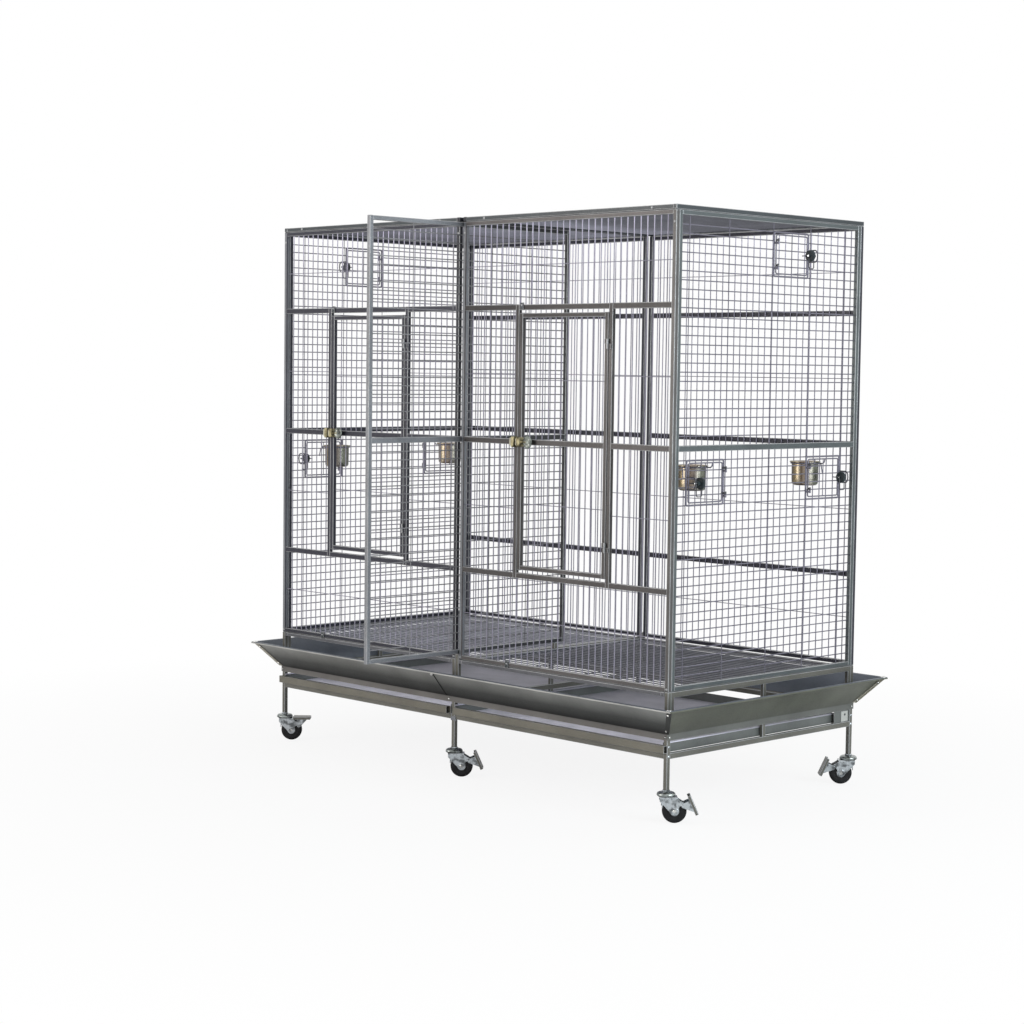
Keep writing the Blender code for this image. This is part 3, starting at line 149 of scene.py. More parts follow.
def aim_camera():
    """The camera at the photographed angle, with its small roll."""
    data = bpy.data.cameras.new("camera")
    data.lens = LENS
    data.sensor_width = SENSOR
    camera = new_item("camera", data)
    aim = turned(CAMERA_TURN) @ turned(90 - CAMERA_DIP, "X") @ turned(CAMERA_ROLL)
    camera.matrix_world = moved(*CAMERA_AT) @ aim
    bpy.context.scene.camera = camera


def add_lamp(name, place, target, power, colour):
    """A square soft lamp that points at a target."""
    data = bpy.data.lights.new(name, "AREA")
    data.size = LAMP_SIZE
    data.energy = power
    data.color = colour
    lamp = new_item(name, data)
    away = Vector(target) - Vector(place)
    lamp.rotation_euler = away.to_track_quat("-Z", "Y").to_euler()
    lamp.location = place


def light_room():
    """White surround: plain white to the eye, and as a light weaker and darker low down."""
    world = bpy.data.worlds.new("room")
    bpy.context.scene.world = world
    world.use_nodes = True
    tree = world.node_tree
    tree.nodes.clear()
    height = along_axis(tree, "Z", "Generated")
    shades = colour_ramp(tree, height, ((0, (0.42, 0.42, 0.44)), (0.6, (1, 1, 1))))
    shining = add_node(tree, "ShaderNodeBackground", {"Color": shades, "Strength": ROOM_LIGHT})
    seen = add_node(tree, "ShaderNodeBackground", {"Color": (1, 1, 1, 1)})
    rays = add_node(tree, "ShaderNodeLightPath").outputs
    seen_through = math_node(tree, "MAXIMUM", rays["Is Camera Ray"], rays["Is Transmission Ray"])
    any_ray = math_node(tree, "MAXIMUM", seen_through, rays["Is Glossy Ray"])
    mix = add_node(tree, "ShaderNodeMixShader", {"Fac": any_ray, 1: shining, 2: seen})
    add_node(tree, "ShaderNodeOutputWorld", {"Surface": mix})


def lay_floor():
    """A wide white floor that keeps a faint shadow near the cage and fades into the white."""
    corners = [(x * FLOOR_HALF, y * FLOOR_HALF, 0) for x, y in ((-1, -1), (1, -1), (1, 1), (-1, 1))]
    floor = mesh_item(corners, (), [(0, 1, 2, 3)], "floor")
    floor.location.z = -FLOOR_BELOW
    material = feed_shader(new_material("white_floor"), {"Base Color": (0.9, 0.9, 0.9, 1), "Roughness": 1})
    tree = material.node_tree
    distance = add_node(tree, "ShaderNodeVectorMath", {0: object_place(tree)}, operation="LENGTH")
    fade = remap(tree, distance, SHADOW_NEAR, SHADOW_FAR, 0.88)
    rays = add_node(tree, "ShaderNodeLightPath").outputs
    share = math_node(tree, "MULTIPLY", rays["Is Camera Ray"], fade)
    mix = add_node(tree, "ShaderNodeMixShader", {
        "Fac": share, 1: tree.nodes["Principled BSDF"], 2: add_node(tree, "ShaderNodeEmission"),
    })
    feed(tree, tree.nodes["Material Output"], {"Surface": mix})
    floor.data.materials.append(material)


bpy.context.scene.view_settings.view_transform = "Standard"
aim_camera()
light_room()
add_lamp("key_lamp", (4.6, 0.4, 2.0), (0.2, 0.1, 0.8), 104, (0.86, 0.96, 1))
add_lamp("front_lamp", (-2.4, -4.6, 1.6), (0, 0, 0.6), 74, (1, 0.93, 0.87))
lay_floor()

# Powder coat
# Mild steel under a dark pewter powder coat. The powder melts into fine dimples with pale and
# dark flecks. The rounded edges of tubes take a paler coat, a painted highlight, and warm, cool,
# blue and shaded copies of the coat are painted light and shade for how light falls on each part.


def add_sockets(tree, way, kinds):
    """Named inputs or outputs of a node group."""
    for name, kind in kinds.items():
        tree.interface.new_socket(name, in_out=way, socket_type="NodeSocket" + kind)


def noise(tree, scale, detail=2):
    """Clouds or grain over an object."""
    return add_node(tree, "ShaderNodeTexNoise", {
        "Vector": object_place(tree), "Scale": scale, "Detail": detail,
    })


def colour_mix(tree, share, one, other, blend="MIX"):
    """Two colours mixed. The node's colour mode has its share and colours at sockets 0, 6 and 7."""
    return add_node(
        tree, "ShaderNodeMix", {0: share, 6: one, 7: other}, data_type="RGBA", blend_type=blend,
    )


def dents(tree, height, strength, distance=0.0002):
    """The surface's slope where a height makes it uneven."""
    return add_node(tree, "ShaderNodeBump", {
        "Height": height, "Strength": strength, "Distance": distance,
    })


def coat_group():
    """Colour, roughness and dimple height of the hammered coat."""
    group = bpy.data.node_groups.new("hammered_coat", "ShaderNodeTree")
    add_sockets(group, "INPUT", {
        "Coat": "Color", "Fleck": "Color", "Fleck Amount": "Float", "Base Roughness": "Float",
    })
    add_sockets(group, "OUTPUT", {"Color": "Color", "Roughness": "Float", "Height": "Float"})
    given = add_node(group, "NodeGroupInput").outputs
    dimples = add_node(group, "ShaderNodeTexVoronoi", {
        "Vector": object_place(group), "Scale": 420, "Smoothness": 0.6,
    }, feature="SMOOTH_F1")
    fine = noise(group, 700, 3)
    broad = remap(group, noise(group, 9, 4), 0.3, 0.7, 0.82, 1.15)
    flecks = math_node(group, "MULTIPLY", remap(group, fine, 0.56, 0.72), given["Fleck Amount"])
    toned = colour_mix(group, 1, given["Coat"], broad, "MULTIPLY")
    add_node(group, "NodeGroupOutput", {
        "Color": colour_mix(group, flecks, toned, given["Fleck"]),
        "Roughness": math_node(group, "MULTIPLY_ADD", dimples, 0.25, given["Base Roughness"]),
        "Height": math_node(group, "ADD", dimples, fine),
    })
    return group


hammered_coat = coat_group()


def coated(name, coat, fleck, amount=0.5, rough=0.36, metallic=0.55, bump=0.25):
    """A powder coat material in its own tint."""
    material = new_material(name)
    tree = material.node_tree
    look = add_node(tree, "ShaderNodeGroup", {
        "Coat": (*coat, 1), "Fleck": (*fleck, 1), "Fleck Amount": amount, "Base Roughness": rough,
    }, node_tree=hammered_coat).outputs
    return feed_shader(material, {
        "Base Color": look["Color"], "Roughness": look["Roughness"], "Metallic": metallic,
        "Normal": dents(tree, look["Height"], bump, 0.0004), "Coat Weight": 0.25, "Coat Roughness": 0.25,
    })


def base_colour(material):
    """What a material's shader takes its colour from."""
    return material.node_tree.nodes["Principled BSDF"].inputs["Base Color"].links[0].from_socket


def painted_light_along(axis, material, shades):
    """Makes a coat paler or darker along one axis by a curve of shades: painted light and shade."""
    tree = material.node_tree
    curve = add_node(tree, "ShaderNodeFloatCurve", {"Value": along_axis(tree, axis)})
    curve.mapping.use_clip = False
    points = curve.mapping.curves[0].points
    for number, spot in enumerate(shades):
        if number < 2:
            points[number].location = spot
        else:
            points.new(*spot)
    curve.mapping.update()
    return feed_shader(material, {"Base Color": add_node(
        tree, "ShaderNodeVectorMath", {0: base_colour(material), "Scale": curve}, operation="SCALE",
    )})


# Wire panels
# Roof, fronts, backs and sides: frames of half inch square tube with level rails, and round
# bars with thinner cross wires spot welded behind them. Bolted together at the corner posts.
BODY_WIDTH = 1.6256
BODY_DEPTH = 0.8044
PANEL_BOTTOM = 0.3453
PANEL_HEIGHT = 1.2547
TUBE = 0.0127
GAP = 0.0003
SLOT = 0.014
LOWER_RAIL = 0.262
MIDDLE_RAIL = 0.636
UPPER_RAIL = 1.009
HALF_RAIL = 0.008
RAIL_DEPTH = 0.0074
BAR_PITCH = 0.0237
BAR_LINE = 0.0092
BAR_RADIUS = 0.00155
WIRE_LINE = 0.0066
WIRE_RADIUS = 0.0012
ROOF_WIRE_PITCH = 0.195
ROOF_SCREW_FROM_END = 0.086
ROUNDING = 0.0015
BEAD = (0.0026, 0.0022, 0.0014)
INSET = 0.0004
SINK = 0.001
LAP = 0.003
HALF_WIDTH = BODY_WIDTH / 2
HALF_DEPTH = BODY_DEPTH / 2
PANEL_TOP = PANEL_BOTTOM + PANEL_HEIGHT
BAY_PANEL = (BODY_WIDTH - SLOT) / 2
CAGE_FRONT = CAGE_Y - HALF_DEPTH
CAGE_BACK = CAGE_Y + HALF_DEPTH
RAILS = (LOWER_RAIL, MIDDLE_RAIL, UPPER_RAIL)
WIRE_HEIGHTS = [
    (low + high) / 2 for low, high in zip((TUBE, *RAILS), (*RAILS, PANEL_HEIGHT - TUBE))
]
# A darker copy of the coat for inner roof tubes and the left bay's right stile: painted shade.
shaded_coat = coated("shaded_pewter_coat", (0.013, 0.014, 0.021), (0.08, 0.085, 0.11))
# A darker, bluer copy of the coat for the left bay, left door, left side and backs: painted shade.
blue_coat = coated("blue_pewter_coat", (0.023, 0.024, 0.037), (0.12, 0.125, 0.16))
roof_coat = coated("roof_pewter_coat", (0.045, 0.054, 0.06), (0.15, 0.17, 0.18))
# Roof bars painted lighter over the middle and darker towards the right end: painted light and shade.
roof_bars = painted_light_along(
    "X", coated("roof_bar_coat", (0.13, 0.13, 0.155), (0.3, 0.3, 0.34), 0.4, 0.3),
    ((-0.8, 1.3), (-0.1, 2.1), (0.08, 2.1), (0.24, 1.15), (0.5, 0.85), (0.8, 0.8)),
)
# Bars painted paler at the foot and much paler at the top: painted light.
front_bars = painted_light_along(
    "Z", coated("front_bar_coat", (0.185, 0.178, 0.225), (0.38, 0.37, 0.43), 0.4, 0.28),
    ((0.34, 2.6), (0.55, 1.5), (1.4, 1.5), (1.6, 4.4)),
)
# A pale coat on bevelled edges, hinge knuckles and screw heads: a painted highlight.
edge_highlight = coated("pewter_edge_highlight", (0.36, 0.37, 0.38), (0.6, 0.61, 0.62), 0.8, 0.26)


def plain_mesh(item):
    """Bakes an object's modifiers into its mesh."""
    bpy.context.view_layer.update()
    graph = bpy.context.evaluated_depsgraph_get()
    mesh = bpy.data.meshes.new_from_object(item.evaluated_get(graph))
    item.modifiers.clear()
    item.data = mesh


def face_outwards(mesh, crease):
    """Turns a mesh's faces outwards, and smooths them where they meet below the crease angle."""
    shape = bmesh.new()
    shape.from_mesh(mesh)
    bmesh.ops.recalc_face_normals(shape, faces=shape.faces)
    shape.to_mesh(mesh)
    shape.free()
    if crease:
        mesh.shade_smooth()
        mesh.set_sharp_from_angle(angle=math.radians(crease))


def rounded(item, rounding, material, edge=None):
    """Rounds the edges of a part, whose bevel faces may take a second material such as a painted highlight.
    """
    item.data.materials.append(material)
    bevel = item.modifiers.new("edges", "BEVEL")
    bevel.width = rounding
    bevel.segments = 2
    bevel.harden_normals = True
    if edge:
        item.data.materials.append(edge)
        bevel.material = 1
    plain_mesh(item)
    return item


def blocks(corners, material, rounding, edge=None):
    """Square tubes or plates between pairs of corners."""
    item = mesh_item(())
    shape = bmesh.new()
    for low, high in corners:
        size = Vector(high) - Vector(low)
        middle = (Vector(high) + Vector(low)) / 2
        bmesh.ops.create_cube(shape, size=1, matrix=Matrix.LocRotScale(middle, None, size))
    shape.to_mesh(item.data)
    shape.free()
    return rounded(item, rounding, material, edge)


def new_tree(name, inputs):
    """A geometry tree with its named inputs, and the node that gives them."""
    tree = bpy.data.node_groups.new(name, "GeometryNodeTree")
    add_sockets(tree, "INPUT", {"Geometry": "Geometry", **inputs, "Material": "Material"})
    add_sockets(tree, "OUTPUT", {"Geometry": "Geometry"})
    return tree, add_node(tree, "NodeGroupInput").outputs


def end_tree(tree, shape, smooth, material):
    """Makes a tree's shape real, sets its shading and material, and puts it out."""
    real = add_node(tree, "GeometryNodeRealizeInstances", {"Geometry": shape})
    shaded = add_node(tree, "GeometryNodeSetShadeSmooth", {"Geometry": real, "Shade Smooth": smooth})
    dressed = add_node(tree, "GeometryNodeSetMaterial", {"Geometry": shaded, "Material": material})
    add_node(tree, "NodeGroupOutput", {"Geometry": dressed})
    return tree


def wire_tree():
    """Sweeps a round section along loose edges, for bars, cross wires and bent wire."""
    tree, given = new_tree("round_wire", {"Radius": "Float", "Sides": "Int"})
    section = add_node(tree, "GeometryNodeCurvePrimitiveCircle", {
        "Radius": given["Radius"], "Resolution": given["Sides"],
    })
    line = add_node(tree, "GeometryNodeMeshToCurve", {"Mesh": given["Geometry"]})
    sweep = add_node(tree, "GeometryNodeCurveToMesh", {
        "Curve": line, "Profile Curve": section, "Fill Caps": True,
    })
    return end_tree(tree, sweep, False, given["Material"])


def bead_tree():
    """Sets a small flattened ball at each point, for weld beads and domed screw heads."""
    tree, given = new_tree("weld_beads", {"Size": "Vector", "Detail": "Int"})
    ball = add_node(tree, "GeometryNodeMeshIcoSphere", {"Radius": 1, "Subdivisions": given["Detail"]})
    spots = add_node(tree, "GeometryNodeInstanceOnPoints", {
        "Points": given["Geometry"], "Instance": ball, "Scale": given["Size"],
    })
    return end_tree(tree, spots, True, given["Material"])


round_wire = wire_tree()
weld_beads = bead_tree()


def grown(item, tree, **values):
    """Runs a geometry tree on an object with named values, and keeps the plain mesh."""
    grow = item.modifiers.new("grow", "NODES")
    grow.node_group = tree
    for socket in tree.interface.items_tree:
        key = socket.name.lower()
        if socket.in_out == "INPUT" and key in values:
            grow[socket.identifier] = values[key]
    plain_mesh(item)


def wires(lines, radius, material, sides=8, closed=False):
    """Round wire along each line of points."""
    points = []
    edges = []
    for line in lines:
        start = len(points)
        points += line
        edges += [(start + i, start + i + 1) for i in range(len(line) - 1)]
        if closed:
            edges.append((start + len(line) - 1, start))
    item = mesh_item(points, edges)
    grown(item, round_wire, radius=radius, sides=sides, material=material)
    face_outwards(item.data, 50)
    return item


def beads(points, size, material, detail=3):
    """Weld beads or screw heads at points, wide, deep and tall as the size says."""
    item = mesh_item(points)
    grown(item, weld_beads, size=size, detail=detail, material=material)
    return item


def fit(parts, name, place, body, slot_name, *stands_for):
    """Joins parts to one piece in its place and on its body, instead of solids; its slot name is not used.
    """
    item = parts[0]
    bpy.ops.object.select_all(action="DESELECT")
    for part in parts:
        part.select_set(True)
    bpy.context.view_layer.objects.active = item
    if len(parts) > 1:
        bpy.ops.object.join()
    item.name = name
    item.data.name = name
    item.data.transform(place)
    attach(item, body)
    if stands_for:
        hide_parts(*stands_for)


def spaced(low, high, pitch):
    """Even places between two edges, as near to the pitch as whole gaps allow."""
    gaps = max(1, round((high - low) / pitch))
    step = (high - low) / gaps
    return [low + step * i for i in range(1, gaps)]


def inside(length):
    """Ends of a bar that is let into the tubes at both ends of a frame."""
    return TUBE - LAP, length - TUBE + LAP


def tube_ring(width, height, depth=TUBE):
    """Four tubes of a frame, the level ones between the upright ones."""
    left = TUBE - SINK
    right = width - left
    return [
        ((0, 0, 0), (TUBE, depth, height)),
        ((width - TUBE, 0, 0), (width, depth, height)),
        ((left, INSET, INSET), (right, depth - INSET, TUBE)),
        ((left, INSET, height - TUBE), (right, depth - INSET, height - INSET)),
    ]


def rail(x0, x1, height):
    """A level rail in front of the bars."""
    return ((x0 - SINK, 2 * INSET, height - HALF_RAIL), (x1 + SINK, RAIL_DEPTH, height + HALF_RAIL))


def upright(x, low, high, line=BAR_LINE):
    """The line of an upright bar."""
    return [(x, line, low), (x, line, high)]


def level(x0, x1, height, line=WIRE_LINE):
    """The line of a level wire."""
    return [(x0, line, height), (x1, line, height)]


def bay_wires(height, wire_heights):
    """Upright bars, level cross wires and weld spots of a bay panel."""
    places = spaced(TUBE, BAY_PANEL - TUBE, BAR_PITCH)
    bars = [upright(x, *inside(height)) for x in places]
    cross = [level(*inside(BAY_PANEL), z) for z in wire_heights]
    return bars, cross, [(x, BAR_LINE, z) for x in places for z in (TUBE, height - TUBE)]


def wire_panel(tubes, bars, cross, welds, tube_coat, wire_coat):
    """The parts of one welded panel: tubes, bars, cross wires and weld beads."""
    return [
        blocks(tubes, tube_coat, ROUNDING, edge_highlight),
        wires(bars, BAR_RADIUS, wire_coat),
        wires(cross, WIRE_RADIUS, wire_coat, 6),
        beads(welds, BEAD, wire_coat, 1),
    ]


def bay_back(name, place):
    """A bay back: three rails, bars and cross wires."""
    tubes = tube_ring(BAY_PANEL, PANEL_HEIGHT) + [rail(TUBE, BAY_PANEL - TUBE, z) for z in RAILS]
    parts = wire_panel(tubes, *bay_wires(PANEL_HEIGHT, WIRE_HEIGHTS), blue_coat, front_bars)
    fit(parts, name + "_detail", place, "cage", "pewter_frame", name)


for panel_name, x in (("back_left_panel", -SLOT / 2), ("back_right_panel", HALF_WIDTH)):
    bay_back(panel_name, moved(x, CAGE_BACK, PANEL_BOTTOM) @ turned(180))


def bay_roof(name, place, inner):
    """A bay roof: bars from front to back and three cross wires over them."""
    tubes = tube_ring(BAY_PANEL, BODY_DEPTH)
    # The tube beside the slot takes the shaded coat, a painted shade.
    inner_tube = blocks([tubes.pop(inner)], shaded_coat, ROUNDING, roof_coat)
    roof_wires = bay_wires(BODY_DEPTH, spaced(TUBE, BODY_DEPTH - TUBE, ROOF_WIRE_PITCH))
    ends = (ROOF_SCREW_FROM_END, BAY_PANEL - ROOF_SCREW_FROM_END)
    heads = [(x, 0.0064, z) for x in ends for z in (0, BODY_DEPTH)]
    parts = wire_panel(tubes, *roof_wires, roof_coat, roof_bars)
    parts += [inner_tube, beads(heads, (0.0042, 0.0042, 0.0018), edge_highlight)]
    fit(parts, name + "_detail", place, "cage", "pewter_frame", name)


laid_flat = turned(-90, "X")
for panel_name, x, inner in (("roof_left_panel", -HALF_WIDTH, 1), ("roof_right_panel", SLOT / 2, 0)):
    bay_roof(panel_name, moved(x, CAGE_FRONT, PANEL_TOP + TUBE + GAP) @ laid_flat, inner)

# Feeder openings
# Each side panel has three small openings, edged with thicker wire: two at cup height and one
# high up. A bent wire keeper stands out beside each for the bolt of its door.
SIDE_LENGTH = BODY_DEPTH - 2 * (TUBE + GAP)
FEEDER_EDGE = 0.0025
FEEDER_HALF = 0.0775
FEEDER_REACH = FEEDER_HALF - FEEDER_EDGE
FEEDER_AXIS = 0.07125
FEEDER_HINGE_FROM_END = 0.0256
FEEDER_PIN = 0.0028
PIN_LENGTH = 0.008
FIRST_FEEDER = 0.1277
LAST_FEEDER = 0.1432
HIGH_FEEDER = 0.084
LOW_BARS = (19, 24)
HIGH_BARS = (18, 23)
KEEPER_HALF = 0.016
KEEPER_OUT = -0.0165
HINGE_OUT = 0.0038
# A teal copy of the coat for the right side, painted light for how light falls on that side.
cool_coat = coated("cool_pewter_coat", (0.088, 0.104, 0.108), (0.22, 0.26, 0.265))
bar_coat = coated("bar_pewter_coat", (0.185, 0.178, 0.225), (0.38, 0.37, 0.43), 0.4, 0.28)
dark_wire = coated("dark_wire_coat", (0.075, 0.075, 0.085), (0.24, 0.24, 0.26), 0.4, 0.3)


def level_bars(middle, height):
    """Heights of the level bars, below and above a middle tube."""
    low = spaced(TUBE, middle - HALF_RAIL, BAR_PITCH)
    return low, spaced(middle + HALF_RAIL, height - TUBE, BAR_PITCH)


def middle_tube(length, height):
    """The level tube across the middle of a frame."""
    near = TUBE - SINK
    return ((near, INSET, height - HALF_RAIL), (length - near, TUBE - INSET, height + HALF_RAIL))


def feeder_spots():
    """Centre, lowest and highest bar, and hinge side of the three openings."""
    low, high = level_bars(MIDDLE_RAIL, PANEL_HEIGHT)
    low_edges = [low[number] for number in LOW_BARS]
    high_edges = [high[number] for number in HIGH_BARS]
    return [
        (FIRST_FEEDER, *low_edges, 1),
        (SIDE_LENGTH - LAST_FEEDER, *low_edges, -1),
        (SIDE_LENGTH / 2 + HIGH_FEEDER, *high_edges, -1),
    ]


def arc(x, y, radius, start, end, steps=8):
    """Points on a circle between two angles in degrees."""
    angles = [math.radians(start + (end - start) * i / steps) for i in range(steps + 1)]
    return [(x + radius * math.cos(angle), y + radius * math.sin(angle)) for angle in angles]


def wire_loop(x0, x1, z0, z1, line, corner=0.005):
    """A rectangle of wire with rounded corners."""
    points = []
    for x, z, start in (
        (x1 - corner, z1 - corner, 0), (x0 + corner, z1 - corner, 90),
        (x0 + corner, z0 + corner, 180), (x1 - corner, z0 + corner, 270),
    ):
        points += arc(x, z, corner, start, start + 90, 3)
    return [(x, line, z) for x, z in points]


def keeper_wire(x, z):
    """A bent wire that stands out of the panel and goes round a bolt."""
    bend = [(x, KEEPER_OUT + y / 2, z + rise) for y, rise in arc(0, 0, KEEPER_HALF, 90, 270, 6)]
    return [(x, 0.004, z + KEEPER_HALF), *bend, (x, 0.004, z - KEEPER_HALF)]


def feeder_pins(spot, way):
    """Hinge pins of a feeder door: the lower halves on the panel, the upper ones on the door."""
    centre, bottom, top, side = spot
    axis = centre + side * FEEDER_AXIS
    pins = []
    for height in (bottom + FEEDER_HINGE_FROM_END, top - FEEDER_HINGE_FROM_END):
        ends = sorted((height + max(way * GAP, 0), height + way * PIN_LENGTH))
        middle = height + way * PIN_LENGTH / 2
        pins.append(upright(axis, *ends, -HINGE_OUT))
        pins.append([(axis, -HINGE_OUT, middle), (axis - way * side * 0.004, 0.005, middle)])
    return pins


def side_panel(name, place, coat):
    """A side: middle rail, level bars broken at the openings, upright cross wires, edges."""
    low, high = level_bars(MIDDLE_RAIL, PANEL_HEIGHT)
    spots = feeder_spots()
    tubes = [*tube_ring(SIDE_LENGTH, PANEL_HEIGHT), middle_tube(SIDE_LENGTH, MIDDLE_RAIL)]
    bars = []
    for height in low + high:
        start, end = inside(SIDE_LENGTH)
        for centre, bottom, top, side in sorted(spots):
            if bottom - BAR_RADIUS < height < top + BAR_RADIUS:
                bars.append(level(start, centre - FEEDER_REACH, height, BAR_LINE))
                start = centre + FEEDER_REACH
        bars.append(level(start, end, height, BAR_LINE))
    welds = [(x, BAR_LINE, z) for z in low + high for x in (TUBE, SIDE_LENGTH - TUBE)]
    first, last, middle = [spot[0] for spot in spots]
    half = FEEDER_HALF + 2 * WIRE_RADIUS
    stays = (first - half, first + half, middle - half, last - half, last + half)
    cross = [upright(x, *inside(PANEL_HEIGHT), WIRE_LINE) for x in stays]
    parts = wire_panel(tubes, bars, cross, welds, coat, bar_coat)
    edges = []
    keepers = []
    pins = []
    for spot in spots:
        centre, bottom, top, side = spot
        edges.append(wire_loop(centre - FEEDER_REACH, centre + FEEDER_REACH, bottom, top, BAR_LINE - SINK))
        keepers.append(keeper_wire(centre - side * FEEDER_REACH, (bottom + top) / 2))
        pins += feeder_pins(spot, -1)
    parts += [
        wires(edges, FEEDER_EDGE, bar_coat, 8, True),
        wires(keepers, 0.0018, dark_wire),
        wires(pins, FEEDER_PIN, bar_coat),
    ]
    fit(parts, name + "_detail", place, "cage", "pewter_frame", name)


side_places = {
    "left": moved(-HALF_WIDTH, CAGE_Y + SIDE_LENGTH / 2, PANEL_BOTTOM) @ turned(-90),
    "right": moved(HALF_WIDTH, CAGE_Y - SIDE_LENGTH / 2, PANEL_BOTTOM) @ turned(90),
}
side_panel("left_side_panel", side_places["left"], blue_coat)
side_panel("right_side_panel", side_places["right"], cool_coat)

# Feeder doors, knobs and cups
# Six wire doors on loop hinges. A black ribbed knob turns on a zinc bolt in a wire loop, and
# the four low doors hold a spun stainless cup in a wire ring that hooks over the door's frame.
CUP_RADIUS = 0.038
CUP_RIM = 0.0435
CUP_HEIGHT = 0.068
CUP_LIP = 0.0017
CUP_WALL = 0.0009
CUP_LINE = 0.0622
CUP_TOWARD_HINGE = 0.010
CUP_DROP = 0.014
CUP_REST = 0.0036
CUP_RING = 0.0404
CUP_WIRE = 0.0018
HOOK_FROM_MIDDLE = 0.0228
FEEDER_FRAME = 0.0022
FEEDER_WIDTH = 0.140
FEEDER_END_CLEARANCE = 0.005
BRACKET_DROP = 0.035
BRACKET_CORNER = 0.004
KNOB_LINE = -0.019
KNOB_RADIUS = 0.016
KNOB_LENGTH = 0.018
KNOB_DISC = 0.0085
KNOB_TIP = 0.0715
KNOB_TRAVEL = 0.008
KNOB_TEETH = 24


def plain_metal(name, colour, rough, metallic=1.0):
    """Bare or plated metal with a fine grain, clouded at random with darker patches: a painted reflection
    of dark surroundings.
    """
    material = new_material(name)
    tree = material.node_tree
    grain = noise(tree, 900)
    stops = ((0.38, [channel * 0.28 for channel in colour]), (0.56, colour))
    return feed_shader(material, {
        "Base Color": colour_ramp(tree, noise(tree, 70, 3), stops), "Metallic": metallic,
        "Roughness": math_node(tree, "MULTIPLY_ADD", grain, 0.24, rough - 0.12),
        "Normal": dents(tree, grain, 0.1),
    })


def spun_steel():
    """Spun stainless in light and dark bands by the way its wall faces: a painted reflection of the room.
    """
    material = plain_metal("spun_stainless", (0.5, 0.44, 0.36), 0.26)
    tree = material.node_tree
    across = add_node(tree, "ShaderNodeVectorMath", {
        0: object_place(tree, "Normal"), 1: (0.354, 0.354, 0),
    }, operation="DOT_PRODUCT")
    return feed_shader(material, {"Base Color": colour_ramp(tree, math_node(tree, "ADD", across, 0.5), (
        (0.0, (0.1, 0.085, 0.07)), (0.09, (0.48, 0.38, 0.22)), (0.2, (0.6, 0.53, 0.4)),
        (0.3, (0.2, 0.15, 0.11)), (0.42, (0.46, 0.38, 0.3)), (0.55, (0.3, 0.26, 0.23)),
        (0.66, (0.5, 0.47, 0.4)), (0.78, (0.2, 0.21, 0.17)), (0.9, (0.3, 0.32, 0.26)),
        (1.0, (0.08, 0.08, 0.08)),
    ))})


def moulded(name, colour, rough):
    """Moulded rubber or plastic with a fine grain and dusty patches."""
    material = new_material(name)
    tree = material.node_tree
    dust = noise(tree, 60, 5)
    stops = ((0.4, colour), (0.75, [channel * 1.8 + 0.004 for channel in colour]))
    return feed_shader(material, {
        "Base Color": colour_ramp(tree, dust, stops), "Specular IOR Level": 0.25,
        "Roughness": math_node(tree, "MULTIPLY_ADD", dust, 0.3, rough - 0.15),
        "Normal": dents(tree, noise(tree, 1400), 0.2),
    })


stainless = spun_steel()
zinc = plain_metal("zinc_plate", (0.62, 0.66, 0.69), 0.2)
dark_knob = moulded("dark_knob", (0.022, 0.031, 0.034), 0.4)


def solid(points, faces, crease=0, *materials):
    """A part made of faces."""
    item = mesh_item(points, (), faces)
    face_outwards(item.data, crease)
    for material in materials:
        item.data.materials.append(material)
    return item


def ring_of(radius, count, x=0, y=0):
    """Points evenly round a circle."""
    return arc(x, y, radius, 0, 360, count)[:-1]


def lathe(profile, material, place=Matrix(), sides=40, crease=35):
    """A closed body turned about its own Z from radius and height pairs."""
    points = []
    rows = []
    for radius, height in profile:
        start = len(points)
        points += [(x, y, height) for x, y in ring_of(radius, sides if radius else 1)]
        rows.append(range(start, len(points)))
    pairs = list(zip(rows, rows[1:]))
    if len(rows[0]) > 1:
        pairs.append((rows[-1], rows[0]))
    faces = []
    for low, high in pairs:
        for i in range(sides):
            j = (i + 1) % sides
            corners = (low[i % len(low)], low[j % len(low)], high[j % len(high)], high[i % len(high)])
            faces.append(list(dict.fromkeys(corners)))
    return solid([place @ Vector(point) for point in points], faces, crease, material)


def skin(rings, crease=0, *materials):
    """A part with a skin over rings of as many points each, and flat ends."""
    count = len(rings[0])
    last = count * (len(rings) - 1)
    faces = [range(count), range(last, last + count)]
    for start in range(0, last, count):
        for i in range(count):
            after = start + (i + 1) % count
            faces.append((start + i, after, after + count, start + i + count))
    return solid([point for ring in rings for point in ring], faces, crease, *materials)


def cup_profile():
    """A spun cup with a rounded foot and a rolled rim, down its outside and up its inside."""
    wall = CUP_WALL
    inner = CUP_RADIUS - wall
    return [
        (0, 0.001), (0.024, 0.001), (0.026, 0), (0.0305, 0), (0.0345, 0.0022), (0.0368, 0.0062),
        (CUP_RADIUS - 0.0006, 0.02), (CUP_RADIUS - 0.0002, 0.058), (CUP_RADIUS, CUP_HEIGHT - CUP_REST),
        *arc(CUP_RIM - CUP_LIP, CUP_HEIGHT - CUP_LIP, CUP_LIP, -90, 126),
        (inner, CUP_HEIGHT - 0.004), (inner - 0.0006, 0.02), (0.0368 - wall, 0.0068),
        (0.0345 - wall, 0.0032), (0.0305, wall), (0, wall + 0.001),
    ]


def ribbed_knob(place):
    """A knob along X: a narrow neck from its face, and then a disc with a ribbed edge."""
    disc = KNOB_LENGTH - KNOB_DISC
    profile = (
        (0, 0.3), (0.0008, 0.36), (disc - 0.0004, 0.36), (disc, 0.88), (disc + 0.0012, 1),
        (KNOB_LENGTH - 0.0015, 1), (KNOB_LENGTH, 0.86),
    )
    rings = []
    for x, share in profile:
        ring = []
        for i, (y, z) in enumerate(ring_of(KNOB_RADIUS * share, 2 * KNOB_TEETH)):
            tooth = 1 if i % 2 else 0.94
            ring.append(place @ Vector((x, y * tooth, z * tooth)))
        rings.append(ring)
    return skin(rings, 0, dark_knob)


